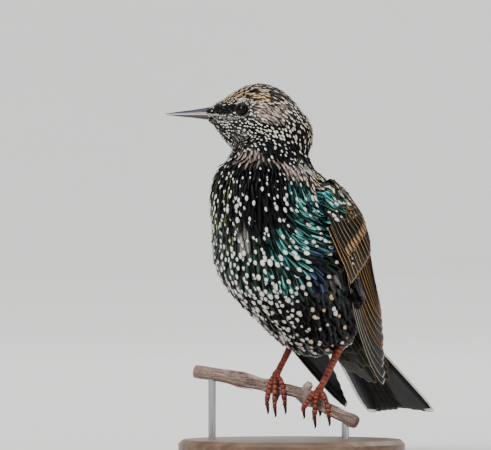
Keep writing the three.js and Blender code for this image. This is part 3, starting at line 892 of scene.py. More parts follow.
def regions(p):
    """The bird's regions, each as how much every feather belongs to it."""
    r = SimpleNamespace(head=p.head, trunk=1 - p.head)
    side = abs(p.left)
    r.belly = smooth(0.0, 0.35, p.ventral) * r.trunk
    r.back = smooth(0.1, -0.25, p.ventral) * r.trunk
    r.chest = (1 - r.back) * r.trunk
    r.low = smooth(112, 96, p.height)
    r.wing_side = smooth(19, 28, side) * smooth(116, 106, p.height) * smooth(-0.4, 0.1, p.ventral) * r.trunk
    r.front = smooth(-6, 16, p.along)
    r.shoulder = r.back * smooth(9, 18, side) * smooth(92, 112, p.height)
    r.crown = smooth(165.5, 168.5, p.height) * r.head
    r.throat = band(p.along, 3, 24, 4) * smooth(152, 145, p.height) * r.head
    r.ear = band(p.along, -12.5, 3, 3) * band(p.height, 157.5, 165.6, 1.8) * r.head
    r.brow = band(p.along, -4, 24, 3) * band(p.height, 164.8, 169.5, 1.3) * r.head
    r.lores = band(p.along, 12.2, 22.5, 1.2) * band(p.height, 160.2, 163.8, 0.7) * r.head
    r.malar = band(p.along, 11, 25, 1.5) * band(p.height, 156.4, 159.8, 0.8) * r.head
    r.nape = smooth(-10, -20, p.along) * r.head
    middle = band(p.across, -5, 18 - 6 * smooth(122, 110, p.height), 3)
    r.centre = middle * smooth(108, 115, p.height) * r.chest
    # flank, streaks, other and violet: where painted iridescent sheen lies, by across and height in the
    # view's plane.
    r.flank = smooth(16, 20, p.across) * band(p.height, 100, 130, 5) * r.chest
    r.streaks = band(p.across, 9, 29, 4) * band(p.height, 82, 110, 7) * r.chest
    r.other = smooth(0, -7, p.across) * band(p.height, 103, 133, 5) * r.chest
    r.rear = smooth(17, 27, p.left) * smooth(100, 88, p.height) * r.chest
    r.violet = band(p.across, 25, 36, 3) * band(p.height, 78, 99, 5) * r.chest
    r.tuft = smooth(35, 39, p.across) * band(p.height, 86, 101, 4) * r.chest
    r.lower_right = smooth(22, 28, p.across) * smooth(88, 82, p.height) * r.chest
    return r


def sizes(p, r, rng):
    """Length, half width and lift of each feather."""
    n = len(p.points)
    length = (10.2 + 0.6 * r.low + 1.4 * r.back + 1.0 * r.wing_side) * r.trunk
    length += (4.4 - 2.3 * r.front + 1.2 * r.crown + 1.6 * r.throat) * r.head
    length -= 3.2 * band(p.height, 131, 150, 5) * r.trunk + 2.4 * band(p.height, 118, 131, 4) * r.back
    length += 2.5 * smooth(34, 38, p.across) * band(p.height, 88, 101, 4) * r.trunk
    half = (1.35 + 0.6 * r.low + 0.55 * r.back + 0.5 * r.wing_side + 0.2 * r.shoulder) * r.trunk
    half += (0.7 - 0.24 * r.front - 0.1 * r.crown) * r.head
    half -= 0.55 * band(p.height, 132, 150, 4) * r.trunk
    lift = TRUNK_COAT * (0.7 + 0.7 * rng.random(n)) * r.trunk
    lift += HEAD_COAT * (0.6 + 0.8 * rng.random(n)) * r.head
    lift += 1.1 * r.throat * rng.random(n)
    return length, half, lift


def tones(p, r, gloss, speck):
    """The colour of each feather's web, with painted iridescent sheen on breast sides, flanks, belly and
    back, and how soft its pattern is.
    """
    bold = smooth(0.3, 0.75, gloss)
    # Painted iridescent sheen: dusk on the belly, teal on the flanks and breast side, green on the other
    # side, violet low on the side, bronze on the back.
    tone = blend(BLACK, (DUSK_SHEEN, 0.8 * r.belly * band(p.height, 76, 108, 7)),
                 (TEAL_SHEEN, r.flank * (0.15 + 0.85 * bold)), (TEAL_SHEEN, 0.75 * r.streaks * bold),
                 (GREEN_SHEEN, r.other * smooth(0.5, 0.9, gloss)), (BLACK, 0.8 * r.violet),
                 (VIOLET_SHEEN, r.violet * smooth(0.5, 0.95, gloss)), (BRONZE_SHEEN, r.back * 0.25),
                 (TUFT_GREY, 0.8 * r.tuft), (BLACK, r.centre * 0.95 + smooth(82, 72, p.height) * r.chest))
    for colour, share in ((GREY_BUFF, r.ear * (0.35 + 0.8 * speck)),
                          (GREY_BUFF, 0.5 * r.brow * (speck > 0.3)),
                          (GREY_WHITE, r.malar * (0.3 + 0.6 * speck)), (SOOT, r.crown * 0.5)):
        tone = laid(tone, colour, share)
    soft = np.maximum(r.ear, r.malar)
    for across, high, wide, tall, tilt, colour, strength in PATCHES:
        turn = math.radians(tilt)
        dx, dz = p.across - across, p.height - high
        along = dx * math.cos(turn) + dz * math.sin(turn)
        over = dz * math.cos(turn) - dx * math.sin(turn)
        patch = smooth(1.25, 0.7, np.hypot(along / wide, over / tall)) * p.near
        tone = laid(tone, colour, patch * strength * (0.7 + 0.4 * speck))
        soft = np.maximum(soft, patch * strength)
    return tone, soft


def spots_shown(p, r, soft):
    """How many of the feathers in each place show a pale spot."""
    shown = 0.62 - 0.2 * r.centre + 0.16 * r.low * r.belly + 0.24 * r.head - 0.95 * r.lores - 0.6 * soft
    shown += 0.25 * band(p.across, -12, 0, 4) * band(p.height, 82, 108, 5) * r.chest
    shown += 0.3 * r.back - 0.3 * r.crown - 0.2 * r.crown * smooth(4, -6, p.along)
    shown -= 0.3 * r.lower_right + 0.12 * smooth(84, 70, p.height) * r.chest
    shown -= 0.32 * r.rear + 0.3 * r.flank + 0.3 * r.violet + 0.35 * r.tuft
    return shown


def plumage(p, rng):
    """Length, half width, lift, breadth of the tip and colours of each feather, from its place."""
    n = len(p.points)
    r = regions(p)
    length, half, lift = sizes(p, r, rng)
    gloss, speck = rng.random(n), rng.random(n)
    tone, soft = tones(p, r, gloss, speck)
    radius = (0.95 + 0.25 * r.low * r.belly + 0.3 * r.rear + 0.2 * r.back) * r.trunk
    radius += (0.53 - 0.14 * r.front) * r.head - 0.3 * band(p.height, 131, 150, 4) * r.trunk
    radius *= 0.65 + 0.6 * rng.random(n)
    stretch = 1.1 + 1.2 * r.back + 0.6 * r.head + 1.7 * r.crown + 0.2 * r.belly
    show = rng.random(n) < spots_shown(p, r, soft)
    spot = np.where(show, np.minimum(radius / half, 0.95), 0)
    edge = 0.12 * r.crown * (speck > 0.75) + 0.14 * r.brow * (speck > 0.5)
    buff = (0.75 * r.rear + 0.5 * r.lower_right) * (speck > 0.35)
    buff += 0.5 * r.crown + 0.35 * r.shoulder + 0.5 * r.brow
    tip = blend(WHITE_TIP, (CREAM_TIP, r.back * 0.8 + 0.25 * r.head + 0.5 * r.nape), (BUFF_TIP, buff))
    tip *= (0.85 + 0.2 * rng.random(n))[:, None]
    colours = {
        "tone": np.column_stack([tone, 1 - 0.75 * np.clip(soft, 0, 1)]),
        "tip": np.column_stack([tip, radius * stretch / length]),
        "marks": np.column_stack([spot, edge, rng.random(n), np.full(n, 0.5)]),
    }
    broad = 0.4 + 0.3 * r.trunk * r.low + 0.2 * r.shoulder
    return length * (0.86 + 0.28 * rng.random(n)), half, lift, broad, colours


VANE_STEPS = (0, 0.25, 0.5, 0.75, 0.9, 1)
COAT_TRIES = 150000


def drape(here, up, go, length, lift):
    """One feather's centre line and upward directions, laid over the ground step by step."""
    line, ups = [here - up * 0.35], [up]
    for last, t in zip(VANE_STEPS, VANE_STEPS[1:]):
        step = (t - last) * length
        there = here + go * step
        found = GROUND.drop(there, up)
        if found is not None and np.linalg.norm(found[0] - here) < 2.2 * step + 1.5:
            here, fresh = found
            up = unit(up * 0.5 + fresh * 0.5)
        else:
            here = there
        go = unit(go - up * go.dot(up))
        line.append(here + up * lift * t ** 0.7)
        ups.append(up)
    return line, ups


def coat():
    """The small feathers of head, neck and trunk, laid along the skin and over the edges of the wings."""
    rng = np.random.default_rng(SEED)
    points, normals = GROUND.sample(rng, COAT_TRIES, feather_gap, clear_of_parts)
    p = Places(points, normals)
    length, half, lift, broad, colours = plumage(p, rng)
    way = p.flow()
    way = unit(way + np.cross(normals, way) * rng.normal(0, 0.09, len(points))[:, None])
    laid_out = [drape(*one) for one in zip(points, normals, way, length, lift)]
    lines, ups = (np.array(part) for part in zip(*laid_out))
    full = np.ones_like(broad)
    profile = [0.45 * full, 0.85 * full, full, 0.85 + 0.12 * broad, 0.58 + 0.3 * broad, 0.12 + 0.25 * broad]
    halves = half[:, None] * np.stack(profile, 1)
    places = p.unwrap()
    trunk = p.head <= 0.5
    breast = p.ventral > 0
    parts = {"coat_head": ~trunk, "coat_front": trunk & breast, "coat_back": trunk & ~breast}
    for name, chosen in parts.items():
        own = {title: values[chosen] for title, values in colours.items()}
        build_vanes(name, (lines[chosen], ups[chosen], halves[chosen]), own, COAT,
                    places=places[chosen], thick=0.1)


# Flight feathers.
FLIGHT_STEPS = (0, 0.15, 0.3, 0.45, 0.6, 0.72, 0.82, 0.9, 0.96, 1)


def on_sheet(sheet, root, tip, half, over, taper, bow=0.0, rise=0.0):
    """Centre line, upward directions and half widths of one feather that lies on a curved sheet.

    The sheet gives a point from x, y and a height over it. The line bows to the front and rises to its
    tip, and the tip starts to round off at the taper.
    """
    root = np.array(root, float)
    run = np.array(tip, float) - root
    line, ups, halves = [], [], []
    for t in FLIGHT_STEPS:
        x, y = root + run * t
        y -= bow * math.sin(math.pi * t)
        high = over + rise * t * t
        here = sheet(x, y, high)
        up = unit(np.cross(sheet(x + 1, y, high) - here, sheet(x, y + 1, high) - here))
        ups.append(up if up @ (sheet(x, y, high + 1) - here) > 0 else -up)
        line.append(here)
        swell = min(1.0, 0.5 + 1.1 * t)
        end = math.sqrt(max(0.0, 1 - max(0.0, (t - taper) / (1.02 - taper)) ** 2.2))
        halves.append(half * swell * end)
    return line, ups, halves


# Tiers of one wing, the outermost feather first: name, count, roots and tips as share of the wing's length
# and place across, half widths, heights over the sheet, bow, where the tip starts to round, and the width
# of the pale edge.
WING_TIERS = [
    ("primaries", 9, [(0.13, -6), (0.1, 2)], [(1.0, 0), (0.72, 12)],
     (4.3, 5), (-2, 0.2), 3.6, 0.72, 0.17),
    ("secondaries", 7, [(0.1, 2), (0.12, 14)], [(0.71, 12.5), (0.6, 18)],
     (4.8, 5.6), (0.5, 2.2), 2.5, 0.82, 0.17),
    ("tertials", 4, [(0.1, 14), (0.14, 18)], [(0.57, 19), (0.4, 20.5)],
     (5.6, 5.8), (2.5, 3.3), 2, 0.74, 0.15),
    ("greater", 14, [(0.04, -10), (0.1, 17)], [(0.315, -13), (0.32, 20)],
     (2.9, 3.6), (1.5, 4.7), 1, 0.8, 0.22),
    ("median", 12, [(0.0, -7), (0.04, 16)], [(0.185, -11), (0.205, 19)],
     (2.4, 3.0), (3.1, 5.6), 0.4, 0.72, 0.17),
]
LESSER_ROWS, LESSER_COUNT = 7, 8
LESSER_HALF, LESSER_LENGTH = 2.1, 9.5
FLIGHT_BLACK = (0.007, 0.0065, 0.007)
COVERT_BLACK = (0.008, 0.02, 0.024)
BUFF_EDGE = (0.6, 0.33, 0.13)
PALE_EDGE = (0.62, 0.52, 0.42)


def add_tiers(feathers, wing, rng):
    """Primaries, secondaries, tertials, greater and median coverts; gives their cambers."""
    cambers = []
    lead = 0.5 + 0.5 * wing.side
    for title, count, roots, tips, halves, overs, bow, taper, edge in WING_TIERS:
        covert = title in ("greater", "median")
        for k in range(count):
            t = k / (count - 1)
            root, end = mix(roots, t), mix(tips, t)
            reach = 1 + rng.normal(0, 0.006)
            root = (root[0] * wing.length, root[1])
            end = (end[0] * wing.length * reach, end[1])
            shape = on_sheet(wing.sheet, root, end, mix(halves, t), mix(overs, t), taper, bow,
                             0.5 if covert else 0.1)
            fringe = PALE_EDGE if title == "primaries" and k < 4 else BUFF_EDGE
            width = edge * rng.uniform(0.85, 1.15)
            pale_side = 0.5 if covert or title == "tertials" else lead
            feathers.add(shape, COVERT_BLACK if covert else FLIGHT_BLACK, (*fringe, 0.12),
                         (0.35 if title == "median" else 0, width, rng.random(), pale_side))
            cambers.append(0.0 if covert else 0.03)
    return cambers


def add_lesser_coverts(feathers, wing, rng):
    """Rows of small coverts over the bend of the wing; gives their cambers."""
    for row in range(LESSER_ROWS):
        front, back = -2 - 5 * row / LESSER_ROWS, 11 + 6 * row / LESSER_ROWS
        for k in range(LESSER_COUNT):
            t = min(1, (k + 0.5 * (row % 2)) / (LESSER_COUNT - 0.5))
            x = (-0.055 + 0.024 * row) * wing.length + rng.normal(0, 0.7)
            y = front + (back - front) * t + rng.normal(0, 0.35)
            reach = LESSER_LENGTH + rng.normal(0, 0.8)
            end = (x + reach, y - 0.6 + rng.normal(0, 0.6))
            shape = on_sheet(wing.sheet, (x, y), end, LESSER_HALF, 2.6 + 2.4 * t - 0.02 * row, 0.6, 0, 0.9)
            fringe = BUFF_EDGE if rng.random() < 0.6 else CREAM_TIP
            spot = 0.4 * (rng.random() < 0.6)
            width = 0.17 * rng.uniform(0.4, 1.2)
            feathers.add(shape, COVERT_BLACK, (*fringe, 0.14), (spot, width, rng.random(), 0.5))
    return [0.04] * LESSER_ROWS * LESSER_COUNT


def feather_wing(name, wing):
    """All feathers of one wing, and the dark core that they grow from."""
    rng = np.random.default_rng(SEED + wing.side)
    feathers = Gathered()
    cambers = add_tiers(feathers, wing, rng) + add_lesser_coverts(feathers, wing, rng)
    node = f"wing_{name}"
    feathers.build(f"{node}_feathers", FLIGHT, (node,), 7, cambers, 0.35)
    new_object(f"{node}_core", wing.core(0.36, 2.6, 0.4, 0.03), SKIN, (node,))


# Tail, in the same frame as the solids.
TAIL_ROOT, TAIL_SLOPE, TAIL_SPREAD = (-50, 59.5), math.radians(37), math.radians(7.5)
TAIL_LENGTH, TAIL_HALF, TAIL_SWING = 74, 9, 0.028
TAIL_BUFF = (0.15, 0.11, 0.055)

# The tail feathers, then tiers of coverts over and under them: count, start, how much longer or shorter
# than the tail, half width, heights over the sheet at the edge and the middle, spread and taper.
TAIL_TIERS = [
    (12, -4, 0, 4.2, (-0.4, 1.6), 1.0, 0.8), (10, -6, -42, 3.9, (2.0, 2.8), 0.9, 0.5),
    (10, -6, -30, 3.9, (-1.6, -2.6), 0.9, 0.5), (9, -8, -54, 3.9, (2.9, 3.6), 0.9, 0.5),
    (9, -8, -41, 3.7, (-2.5, -3.3), 0.9, 0.5), (8, -8, -51, 3.7, (-3.3, -4.0), 0.9, 0.5),
]


def tail_point(along, across, over):
    """A point of the tail's sheet, from its place along and across it and a height over it."""
    forward = TAIL_ROOT[0] - along * math.cos(TAIL_SLOPE) - over * math.sin(TAIL_SLOPE)
    height = TAIL_ROOT[1] - along * math.sin(TAIL_SLOPE) + over * math.cos(TAIL_SLOPE)
    return body(forward, across + along * TAIL_SWING, height)


def feather_tail():
    """The tail's feathers and its upper and under coverts, over a dark core."""
    rng = np.random.default_rng(SEED + 5)
    feathers = Gathered()
    for tier, (count, start, longer, half, overs, spread, taper) in enumerate(TAIL_TIERS):
        for k in range(count):
            place = 2 * k / (count - 1) - 1
            turn = TAIL_SPREAD * place * spread
            reach = TAIL_LENGTH + longer - 2 * math.cos(place * 1.4) - start
            reach += rng.normal(0, 2.2 if tier else 0.3) - (6 * place * place if tier else 0)
            root = (start, place * (TAIL_HALF - 3))
            end = (root[0] + math.cos(turn) * reach, root[1] + math.sin(turn) * reach)
            over = overs[1] + (overs[0] - overs[1]) * abs(place) + 0.07 * k
            outer = tier == 0 and abs(place) > 0.95
            edge = 0.26 if tier else (0.42 if outer else 0.11)
            feathers.add(on_sheet(tail_point, root, end, half, over, taper), BLACK,
                         (*(WHITE_TIP if outer else TAIL_BUFF), 0.1),
                         (0, edge, rng.random(), 0.5 + 0.5 * np.sign(place) * outer))
    feathers.build("tail_feathers", FLIGHT, ("tail",), 7, 0.12, 0.4)
    rings = []
    for t in np.arange(12) / 11:
        along, deep = -7 + t * 24, 3.6 * math.sqrt(1.02 - t * t)
        rings.append([tail_point(along, math.cos(a) * TAIL_HALF, math.sin(a) * deep) for a in circle(28)])
    new_object("tail_core", loft(rings), SKIN, ("tail",))


# Bill, from the solids' profiles with a ridge, a pale cutting edge and a nostril groove.
BILL_BASE, BILL_TIP, BILL_HALF, GAPE = 21.0, 46.8, 3.4, 159.7
BILL_RINGS, BILL_SIDES = 40, 24
CULMEN = (164.2, 162.9, 161.9, 161.1, 160.2)
KEEL = (156.6, 157.3, 158.1, 158.7, 159.3)
NOSTRIL_AT = 28


def bill_ring(t, profile, upper):
    """One ring of a bill half, flat at the cutting edge, with the colour marks of its points."""
    along = BILL_BASE + (BILL_TIP - (0 if upper else 0.7) - BILL_BASE) * t
    flat = GAPE + (0.12 if upper else -0.12)
    half = BILL_HALF * (1 - t) ** 0.75 + 0.3
    ring, colours = [], []
    for turn in np.linspace(0, math.pi, BILL_SIDES):
        up = abs(math.sin(turn)) ** 0.85
        pinch = 1 - 0.18 * up * (1 - up) * 4 * (1 - t) if upper else 1
        near = math.exp(-((along - NOSTRIL_AT) / 2.4) ** 2 - ((up - 0.5) / 0.16) ** 2)
        groove = 0.25 * near if upper else 0
        height = flat + (between(profile, t) - flat) * up
        ring.append(face(along, math.cos(turn) * (half * pinch - groove), height))
        colours.append((0.5 + (0.5 if upper else -0.5) * up, max(0.0, (t - 0.82) / 0.18), 0, 1))
    return ring, colours


def make_bill():
    """Both halves of the bill and the nostrils."""
    look = bill_material()
    for name, profile, upper in (("bill_upper", CULMEN, True), ("bill_lower", KEEL, False)):
        rings, colours = [], []
        for i in range(BILL_RINGS):
            ring, marks = bill_ring(i / (BILL_RINGS - 1), profile, upper)
            rings.append(ring)
            colours += marks
        obj = new_object(name + "_horn", loft(rings), look, (name,))
        colours += [(0.5, 0, 0, 1), (0.5, 1, 0, 1)]
        layer = obj.data.color_attributes.new("mark", "FLOAT_COLOR", "POINT")
        layer.data.foreach_set("color", np.array(colours).ravel())
    for side, name in SIDES:
        rings = []
        for size, out in ((1, -1), (1, 0.3), (0.7, 1)):
            rings.append([face(NOSTRIL_AT + 1.1 * math.cos(a) * size, side * (1.95 + 0.25 * out),
                               161.35 + 0.42 * math.sin(a) * size) for a in circle(20)])
        new_object(f"nostril_{name}", loft(rings), NOSTRIL, ("bill_upper",))


# Eyes: a dark wet ball, a dark rim of lid, and rings of very small pale-tipped feathers on it.
LID_RADIUS = 3.2

# Rings of feathers round the eye: reach from its middle, count, length, and height over the skin.
LID_RINGS = ((3.25, 44, 1.15, 0.75), (3.8, 46, 1.5, 0.35), (4.4, 48, 1.9, 0.2))
SHORT_STEPS = (0, 0.3, 0.6, 0.85, 1)


def make_eyes():
    """Both eyes with their lids and the small feathers round them."""
    for side, name in SIDES:
        centre, out, ahead, above = eye_frame(side)
        rings = []
        for a in -math.pi / 2 + math.pi * np.arange(25) / 24:
            middle = centre + out * math.sin(a) * EYE_RADIUS
            wide = max(math.cos(a), 0.002) * EYE_RADIUS
            rings.append([middle + (ahead * math.cos(b) + above * math.sin(b)) * wide for b in circle(48)])
        new_object(f"eye_{name}_ball", loft(rings), EYE, (f"eye_{name}",))
        rings = []
        for b in circle(64):
            way = ahead * math.cos(b) + above * math.sin(b)
            reach = LID_RADIUS - 0.2 * abs(math.sin(b)) ** 2 + 0.8 * max(0, abs(math.cos(b)) - 0.8)
            middle = centre + out * (1.25 + 0.2 * abs(math.sin(b))) + way * reach
            rings.append([middle + way * math.cos(c) * 0.42 + out * math.sin(c) * 0.5 for c in circle(14)])
        rings.append(rings[0])
        weld(new_object(f"lid_{name}", loft(rings, cap=False), LID, ("head",)))
        lid_feathers(name, side)


def weld(obj):
    """Joins a ring's last points to its first, so that the form is closed."""
    work = bmesh.new()
    work.from_mesh(obj.data)
    bmesh.ops.remove_doubles(work, verts=work.verts, dist=0.00001)
    work.to_mesh(obj.data)
    work.free()
    obj.data.shade_smooth()


def short_feather(start, way, out, arch, up, halves):
    """A small feather from its start, that arches outwards on its way."""
    line = [start + way * t + out * arch * math.sin(math.pi * t) for t in SHORT_STEPS]
    return line, [up] * len(SHORT_STEPS), halves


def lid_feathers(name, side):
    """Rings of small feathers that sweep back round one eye."""
    rng = np.random.default_rng(SEED + 40 + side)
    centre, out, ahead, above = eye_frame(side)
    feathers = Gathered()
    for ring, (reach, count, length, over) in enumerate(LID_RINGS):
        for k in range(count):
            b = 2 * math.pi * (k + 0.5 * (ring % 2)) / count + rng.normal(0, 0.04)
            way = ahead * math.cos(b) + above * math.sin(b)
            sweep = unit(-ahead * 0.75 + way * 0.8 + np.cross(out, way) * 0.05)
            root = centre + way * reach + out * 2.1
            found = GROUND.drop(root, out, 5.0, wings=False)
            start = (root if found is None else found[0]) + out * over
            halves = np.array([0.5, 0.9, 1, 0.75, 0.25]) * (0.27 + 0.05 * ring)
            pale = rng.random() < (0.4 if math.sin(b) > 0 else 0.3)
            before = math.cos(b) > 0.75 and abs(math.sin(b)) < 0.5
            spot = 0.75 if rng.random() < 0.7 and not before else 0
            feathers.add(short_feather(start, sweep * length, out, 0.25, unit(out + 0.25 * way), halves),
                         (*(GREY_WHITE if pale and ring == 0 else BLACK), 0.3), (*WHITE_TIP, 0.3),
                         (spot, 0, rng.random(), 0.5))
    feathers.build(f"lid_feathers_{name}", COAT, ("head",), 3, 0.2, 0.06)


# Short stiff feathers that run forward over the bill's base, and the soft line of the gape.
BASE_COUNT = 230
GAPE_LINE = ((24.5, 159.6), (22, 159.5), (19.5, 159.1), (17, 158.4))


def make_bill_base():
    """The feathers round the bill's base and the skin of the gape."""
    rng = np.random.default_rng(SEED + 60)
    feathers = Gathered()
    for k in range(BASE_COUNT):
        b = 2 * math.pi * k / BASE_COUNT + rng.normal(0, 0.03)
        side, high = math.cos(b), math.sin(b)
        reach = 1.6 + 1.7 * math.exp(-((high - 0.25) / 0.35) ** 2) + 0.8 * (high < -0.3)
        along = 22.6 + rng.random() * 1.4
        root = face(along, side * 3.6, 160.2 + high * 4.0)
        out = unit(FACE_LEFT * side * 3.6 + UP * high * 4.0)
        found = GROUND.drop(root, out, 4.0, wings=False)
        if found is None:
            continue
        start = found[0] + out * 0.15
        way = unit(face(along + reach + 1.5, side * 2.5, 160.0 + high * 2.9) - start)
        halves = np.array([0.5, 0.9, 1, 0.7, 0.15]) * 0.3
        lore = abs(high - 0.35) < 0.35
        pale = high > 0.65 or -0.35 < high < 0.0
        tone = BLACK if lore or not pale else (BUFF_TIP if high > 0 else GREY_WHITE)
        spot = 0.7 if not lore and rng.random() < 0.35 else 0
        feathers.add(short_feather(start, way * reach, out, 0.2, out, halves), (*tone, 0.4),
                     (*(BUFF_TIP if high > 0.5 else WHITE_TIP), 0.2), (spot, 0, rng.random(), 0.5))
    feathers.build("bill_base_feathers", COAT, ("head",), 3, 0.2, 0.06)
    for side, name in SIDES:
        out = FACE_LEFT * side
        path = []
        for along, height in GAPE_LINE:
            found = GROUND.drop(face(along, side * 6, height), out, 8.0, wings=False)
            path.append(found[0] + out * 0.55)
        form = loft(tube(path, lambda t: 0.5 * (1 - t) ** 0.6 + 0.06, 12, 24))
        new_object(f"gape_{name}", form, GAPE_SKIN, ("bill_upper",))


# Branch: across and height of its line in the view's plane.
VINE = [(-46, 36.6), (-29.4, 34.3), (-12.7, 30.5), (-4.6, 28.8), (4, 26.7), (15.4, 20.5), (25.4, 15.7),
        (31, 13.2)]
BARK_SIDES, BARK_RINGS, BARK_LENGTH = 72, 150, 14
STRIPS = 110


def vine_depth(across):
    """How far from the camera's plane the branch runs, at a place across."""
    return 6 - 0.45 * (across - 3)


VINE_PATH = [(x, vine_depth(x), z + LIFT) for x, z in VINE]


def vine_radius(t):
    """The branch's radius, with its two knobs."""
    knobs = 0.8 * math.exp(-((t - 0.2) / 0.05) ** 2) + 0.7 * math.exp(-((t - 0.62) / 0.04) ** 2)
    return 2.75 + knobs + 0.18 * math.sin(23 * t) + 0.12 * math.sin(41 * t + 1)


def heading(path, t):
    """The direction of a path at t."""
    return unit(between(path, min(1, t + 0.01)) - between(path, max(0, t - 0.01)))


def tube(path, radius, sides, count, shape=None):
    """Rings along a smooth path; radius(t) and shape(t, angle) give its size."""
    path = np.asarray(path, float)
    rings = []
    above = UP
    for i in range(count):
        t = i / (count - 1)
        here, run = between(path, t), heading(path, t)
        above = unit(above - run * above.dot(run))
        other = np.cross(run, above)
        ring = []
        for a in circle(sides):
            size = radius(t) * (shape(t, a) if shape else 1)
            ring.append(here + (above * math.cos(a) + other * math.sin(a)) * size)
        rings.append(ring)
    return rings


def make_perch():
    """The branch's ridged bark, with its loose strips."""
    rng = np.random.default_rng(SEED + 9)
    waves = [(k, rng.normal(0, 0.09 / k ** 0.5), rng.random() * 6.28, rng.normal(0, 5)) for k in range(3, 16)]

    def ridges(t, a):
        return 1.02 + sum(h * math.sin(k * a + turn + twist * t) for k, h, turn, twist in waves) * 0.55

    form = loft(tube(VINE_PATH, vine_radius, BARK_SIDES, BARK_RINGS, ridges))
    obj = new_object("perch_bark", form, bark_material(), ("perch",))
    around = np.tile(np.arange(BARK_SIDES) / BARK_SIDES, BARK_RINGS)
    along = np.repeat(np.arange(BARK_RINGS) / (BARK_RINGS - 1) * BARK_LENGTH, BARK_SIDES)
    ends = [[0, 0], [0, BARK_LENGTH]]
    set_map(obj, "Bark", np.vstack([np.stack([np.abs(around * 2 - 1) * 3, along], 1), ends]))
    bark_strips(rng)


def on_bark(t, a, over):
    """A point over the bark, from its place along and round the branch."""
    run = heading(VINE_PATH, t)
    up = unit(UP - run * UP.dot(run))
    side = np.cross(run, up)
    return between(VINE_PATH, t) + (up * math.cos(a) + side * math.sin(a)) * (vine_radius(t) + over)


def bark_strips(rng):
    """Loose fibres of bark along the branch, and its broken stub."""
    forms = []
    for _ in range(STRIPS):
        t, a = rng.random() * 0.9, rng.random() * 2 * math.pi
        reach, turn = rng.uniform(0.05, 0.22), rng.normal(0, 0.25)
        loose = rng.random() < 0.25
        line = []
        for k in range(5):
            over = 0.05 + (0.8 * (k / 4) ** 3 if loose else 0) + rng.normal(0, 0.04)
            line.append(on_bark(min(1, t + reach * k / 4), a + turn * k / 4, over))
        thick = rng.uniform(0.16, 0.42)
        strip = tube(line, lambda u: thick * (0.25 + 0.75 * math.sin(math.pi * min(0.97, u + 0.02))), 6, 14)
        forms.append(loft(strip))

    def rough(t, a):
        return 1 + 0.12 * math.sin(5 * a + 9 * t) + 0.08 * math.sin(11 * a)

    stub = [on_bark(0.6, 0.15, -2.0), on_bark(0.6, 0.15, 1.0), on_bark(0.605, 0.2, 3.2)]
    forms.append(loft(tube(stub, lambda t: 2.5 - 0.9 * t, 20, 16, rough)))
    new_object("bark_strips", together(forms), FIBRE, ("perch",))


# Legs, with the toes on the branch.
SCUTES = scale_material()
KNEE = np.array([10.5, 17.5, 22])
TOE_SCUTES, SHANK_SCUTES, HIND_SCUTES = 11, 13, 9


def leg_tube(path, radius, sides, count, rows, shape=None):
    """One toe or shank, and the place of its points on the map of the scales."""
    around = np.tile(np.minimum(np.arange(sides), sides - np.arange(sides)) / sides * 5, count)
    along = np.repeat(np.arange(count) / (count - 1) * rows, sides)
    uv = np.vstack([np.stack([around, along], 1), [[0, 0], [0, rows]]])
    return loft(tube(path, radius, sides, count, shape)), uv


def shank_shape(t, a):
    return 1 + 0.1 * math.cos(a) + 0.05 * math.sin(34 * t) * max(0, math.cos(a))


def toe_radius(t):
    scute = 0.09 * abs(math.sin(math.pi * TOE_SCUTES * t))
    return 1.45 - 0.5 * t + 0.13 * math.cos(6 * math.pi * t) + scute


def pads(t, a):
    return 1 + 0.12 * max(0, -math.cos(a)) * math.cos(6 * math.pi * t)


def make_leg(name, across, height, spread, fall):
    """One shank, three toes forward and one behind, each with its claw, at a place along the branch."""
    def at(dx, dy, dz):
        return np.array([across + dx, vine_depth(across) + dy, height + dz + LIFT])

    joint = at(0, 0.6, 5.6)
    shank = [joint + KNEE * t + np.array([0.5, 0, 0]) * math.sin(math.pi * t) for t in (0, 0.33, 0.66, 1)]
    parts = [leg_tube(shank, lambda t: 1.5 + 0.45 * math.exp(-(t / 0.12) ** 2) + 1.1 * t ** 3, 20, 60,
                      SHANK_SCUTES, shank_shape)]
    claws = []
    for dx, dz in zip(spread, fall):
        toe = [joint, at(0.35 * dx, -3.4, 4.4), at(0.75 * dx, -5.3, 0.6), at(dx, -4.9, 0.75 * dz),
               at(dx, -4.2, dz)]
        parts.append(leg_tube(toe, toe_radius, 16, 60, TOE_SCUTES, pads))
        claws.append([at(dx, -4.3, dz + 0.6), at(dx + 0.3, -4, dz - 1.8), at(dx + 0.5, -2.2, dz - 3.8),
                      at(dx, -0.4, dz - 4.6)])
    hind = [joint, at(0.6, 4.2, 3.6), at(0.9, 5.2, -0.6), at(0.7, 4, -4.2)]
    parts.append(leg_tube(hind, lambda t: 1.6 - 0.5 * t + 0.14 * math.cos(4 * math.pi * t), 16, 48,
                          HIND_SCUTES))
    claws.append([at(0.7, 4.2, -3.8), at(0.6, 3.2, -5.6), at(0.4, 1.2, -6.6)])
    forms, maps = zip(*parts)
    obj = new_object(f"leg_{name}_scutes", together(forms), SCUTES, (f"leg_{name}",))
    set_map(obj, "Scales", np.vstack(maps))
    tips = [loft(tube(path, lambda t: 0.9 * (1 - t) ** 0.8 + 0.1, 14, 22)) for path in claws]
    new_object(f"claws_{name}", together(tips), CLAW, (f"leg_{name}",))


def make_stand():
    """The stand's own solids, in wood and steel."""
    for name, look in (("stand_base", wood_material()), ("stand_rod_1", STEEL), ("stand_rod_2", STEEL)):
        node = bpy.data.objects[name]
        node.data.materials.clear()
        node.data.materials.append(look)


# The studio: a pale floor that runs up into a wall, soft lights, and a camera at the photograph's place.

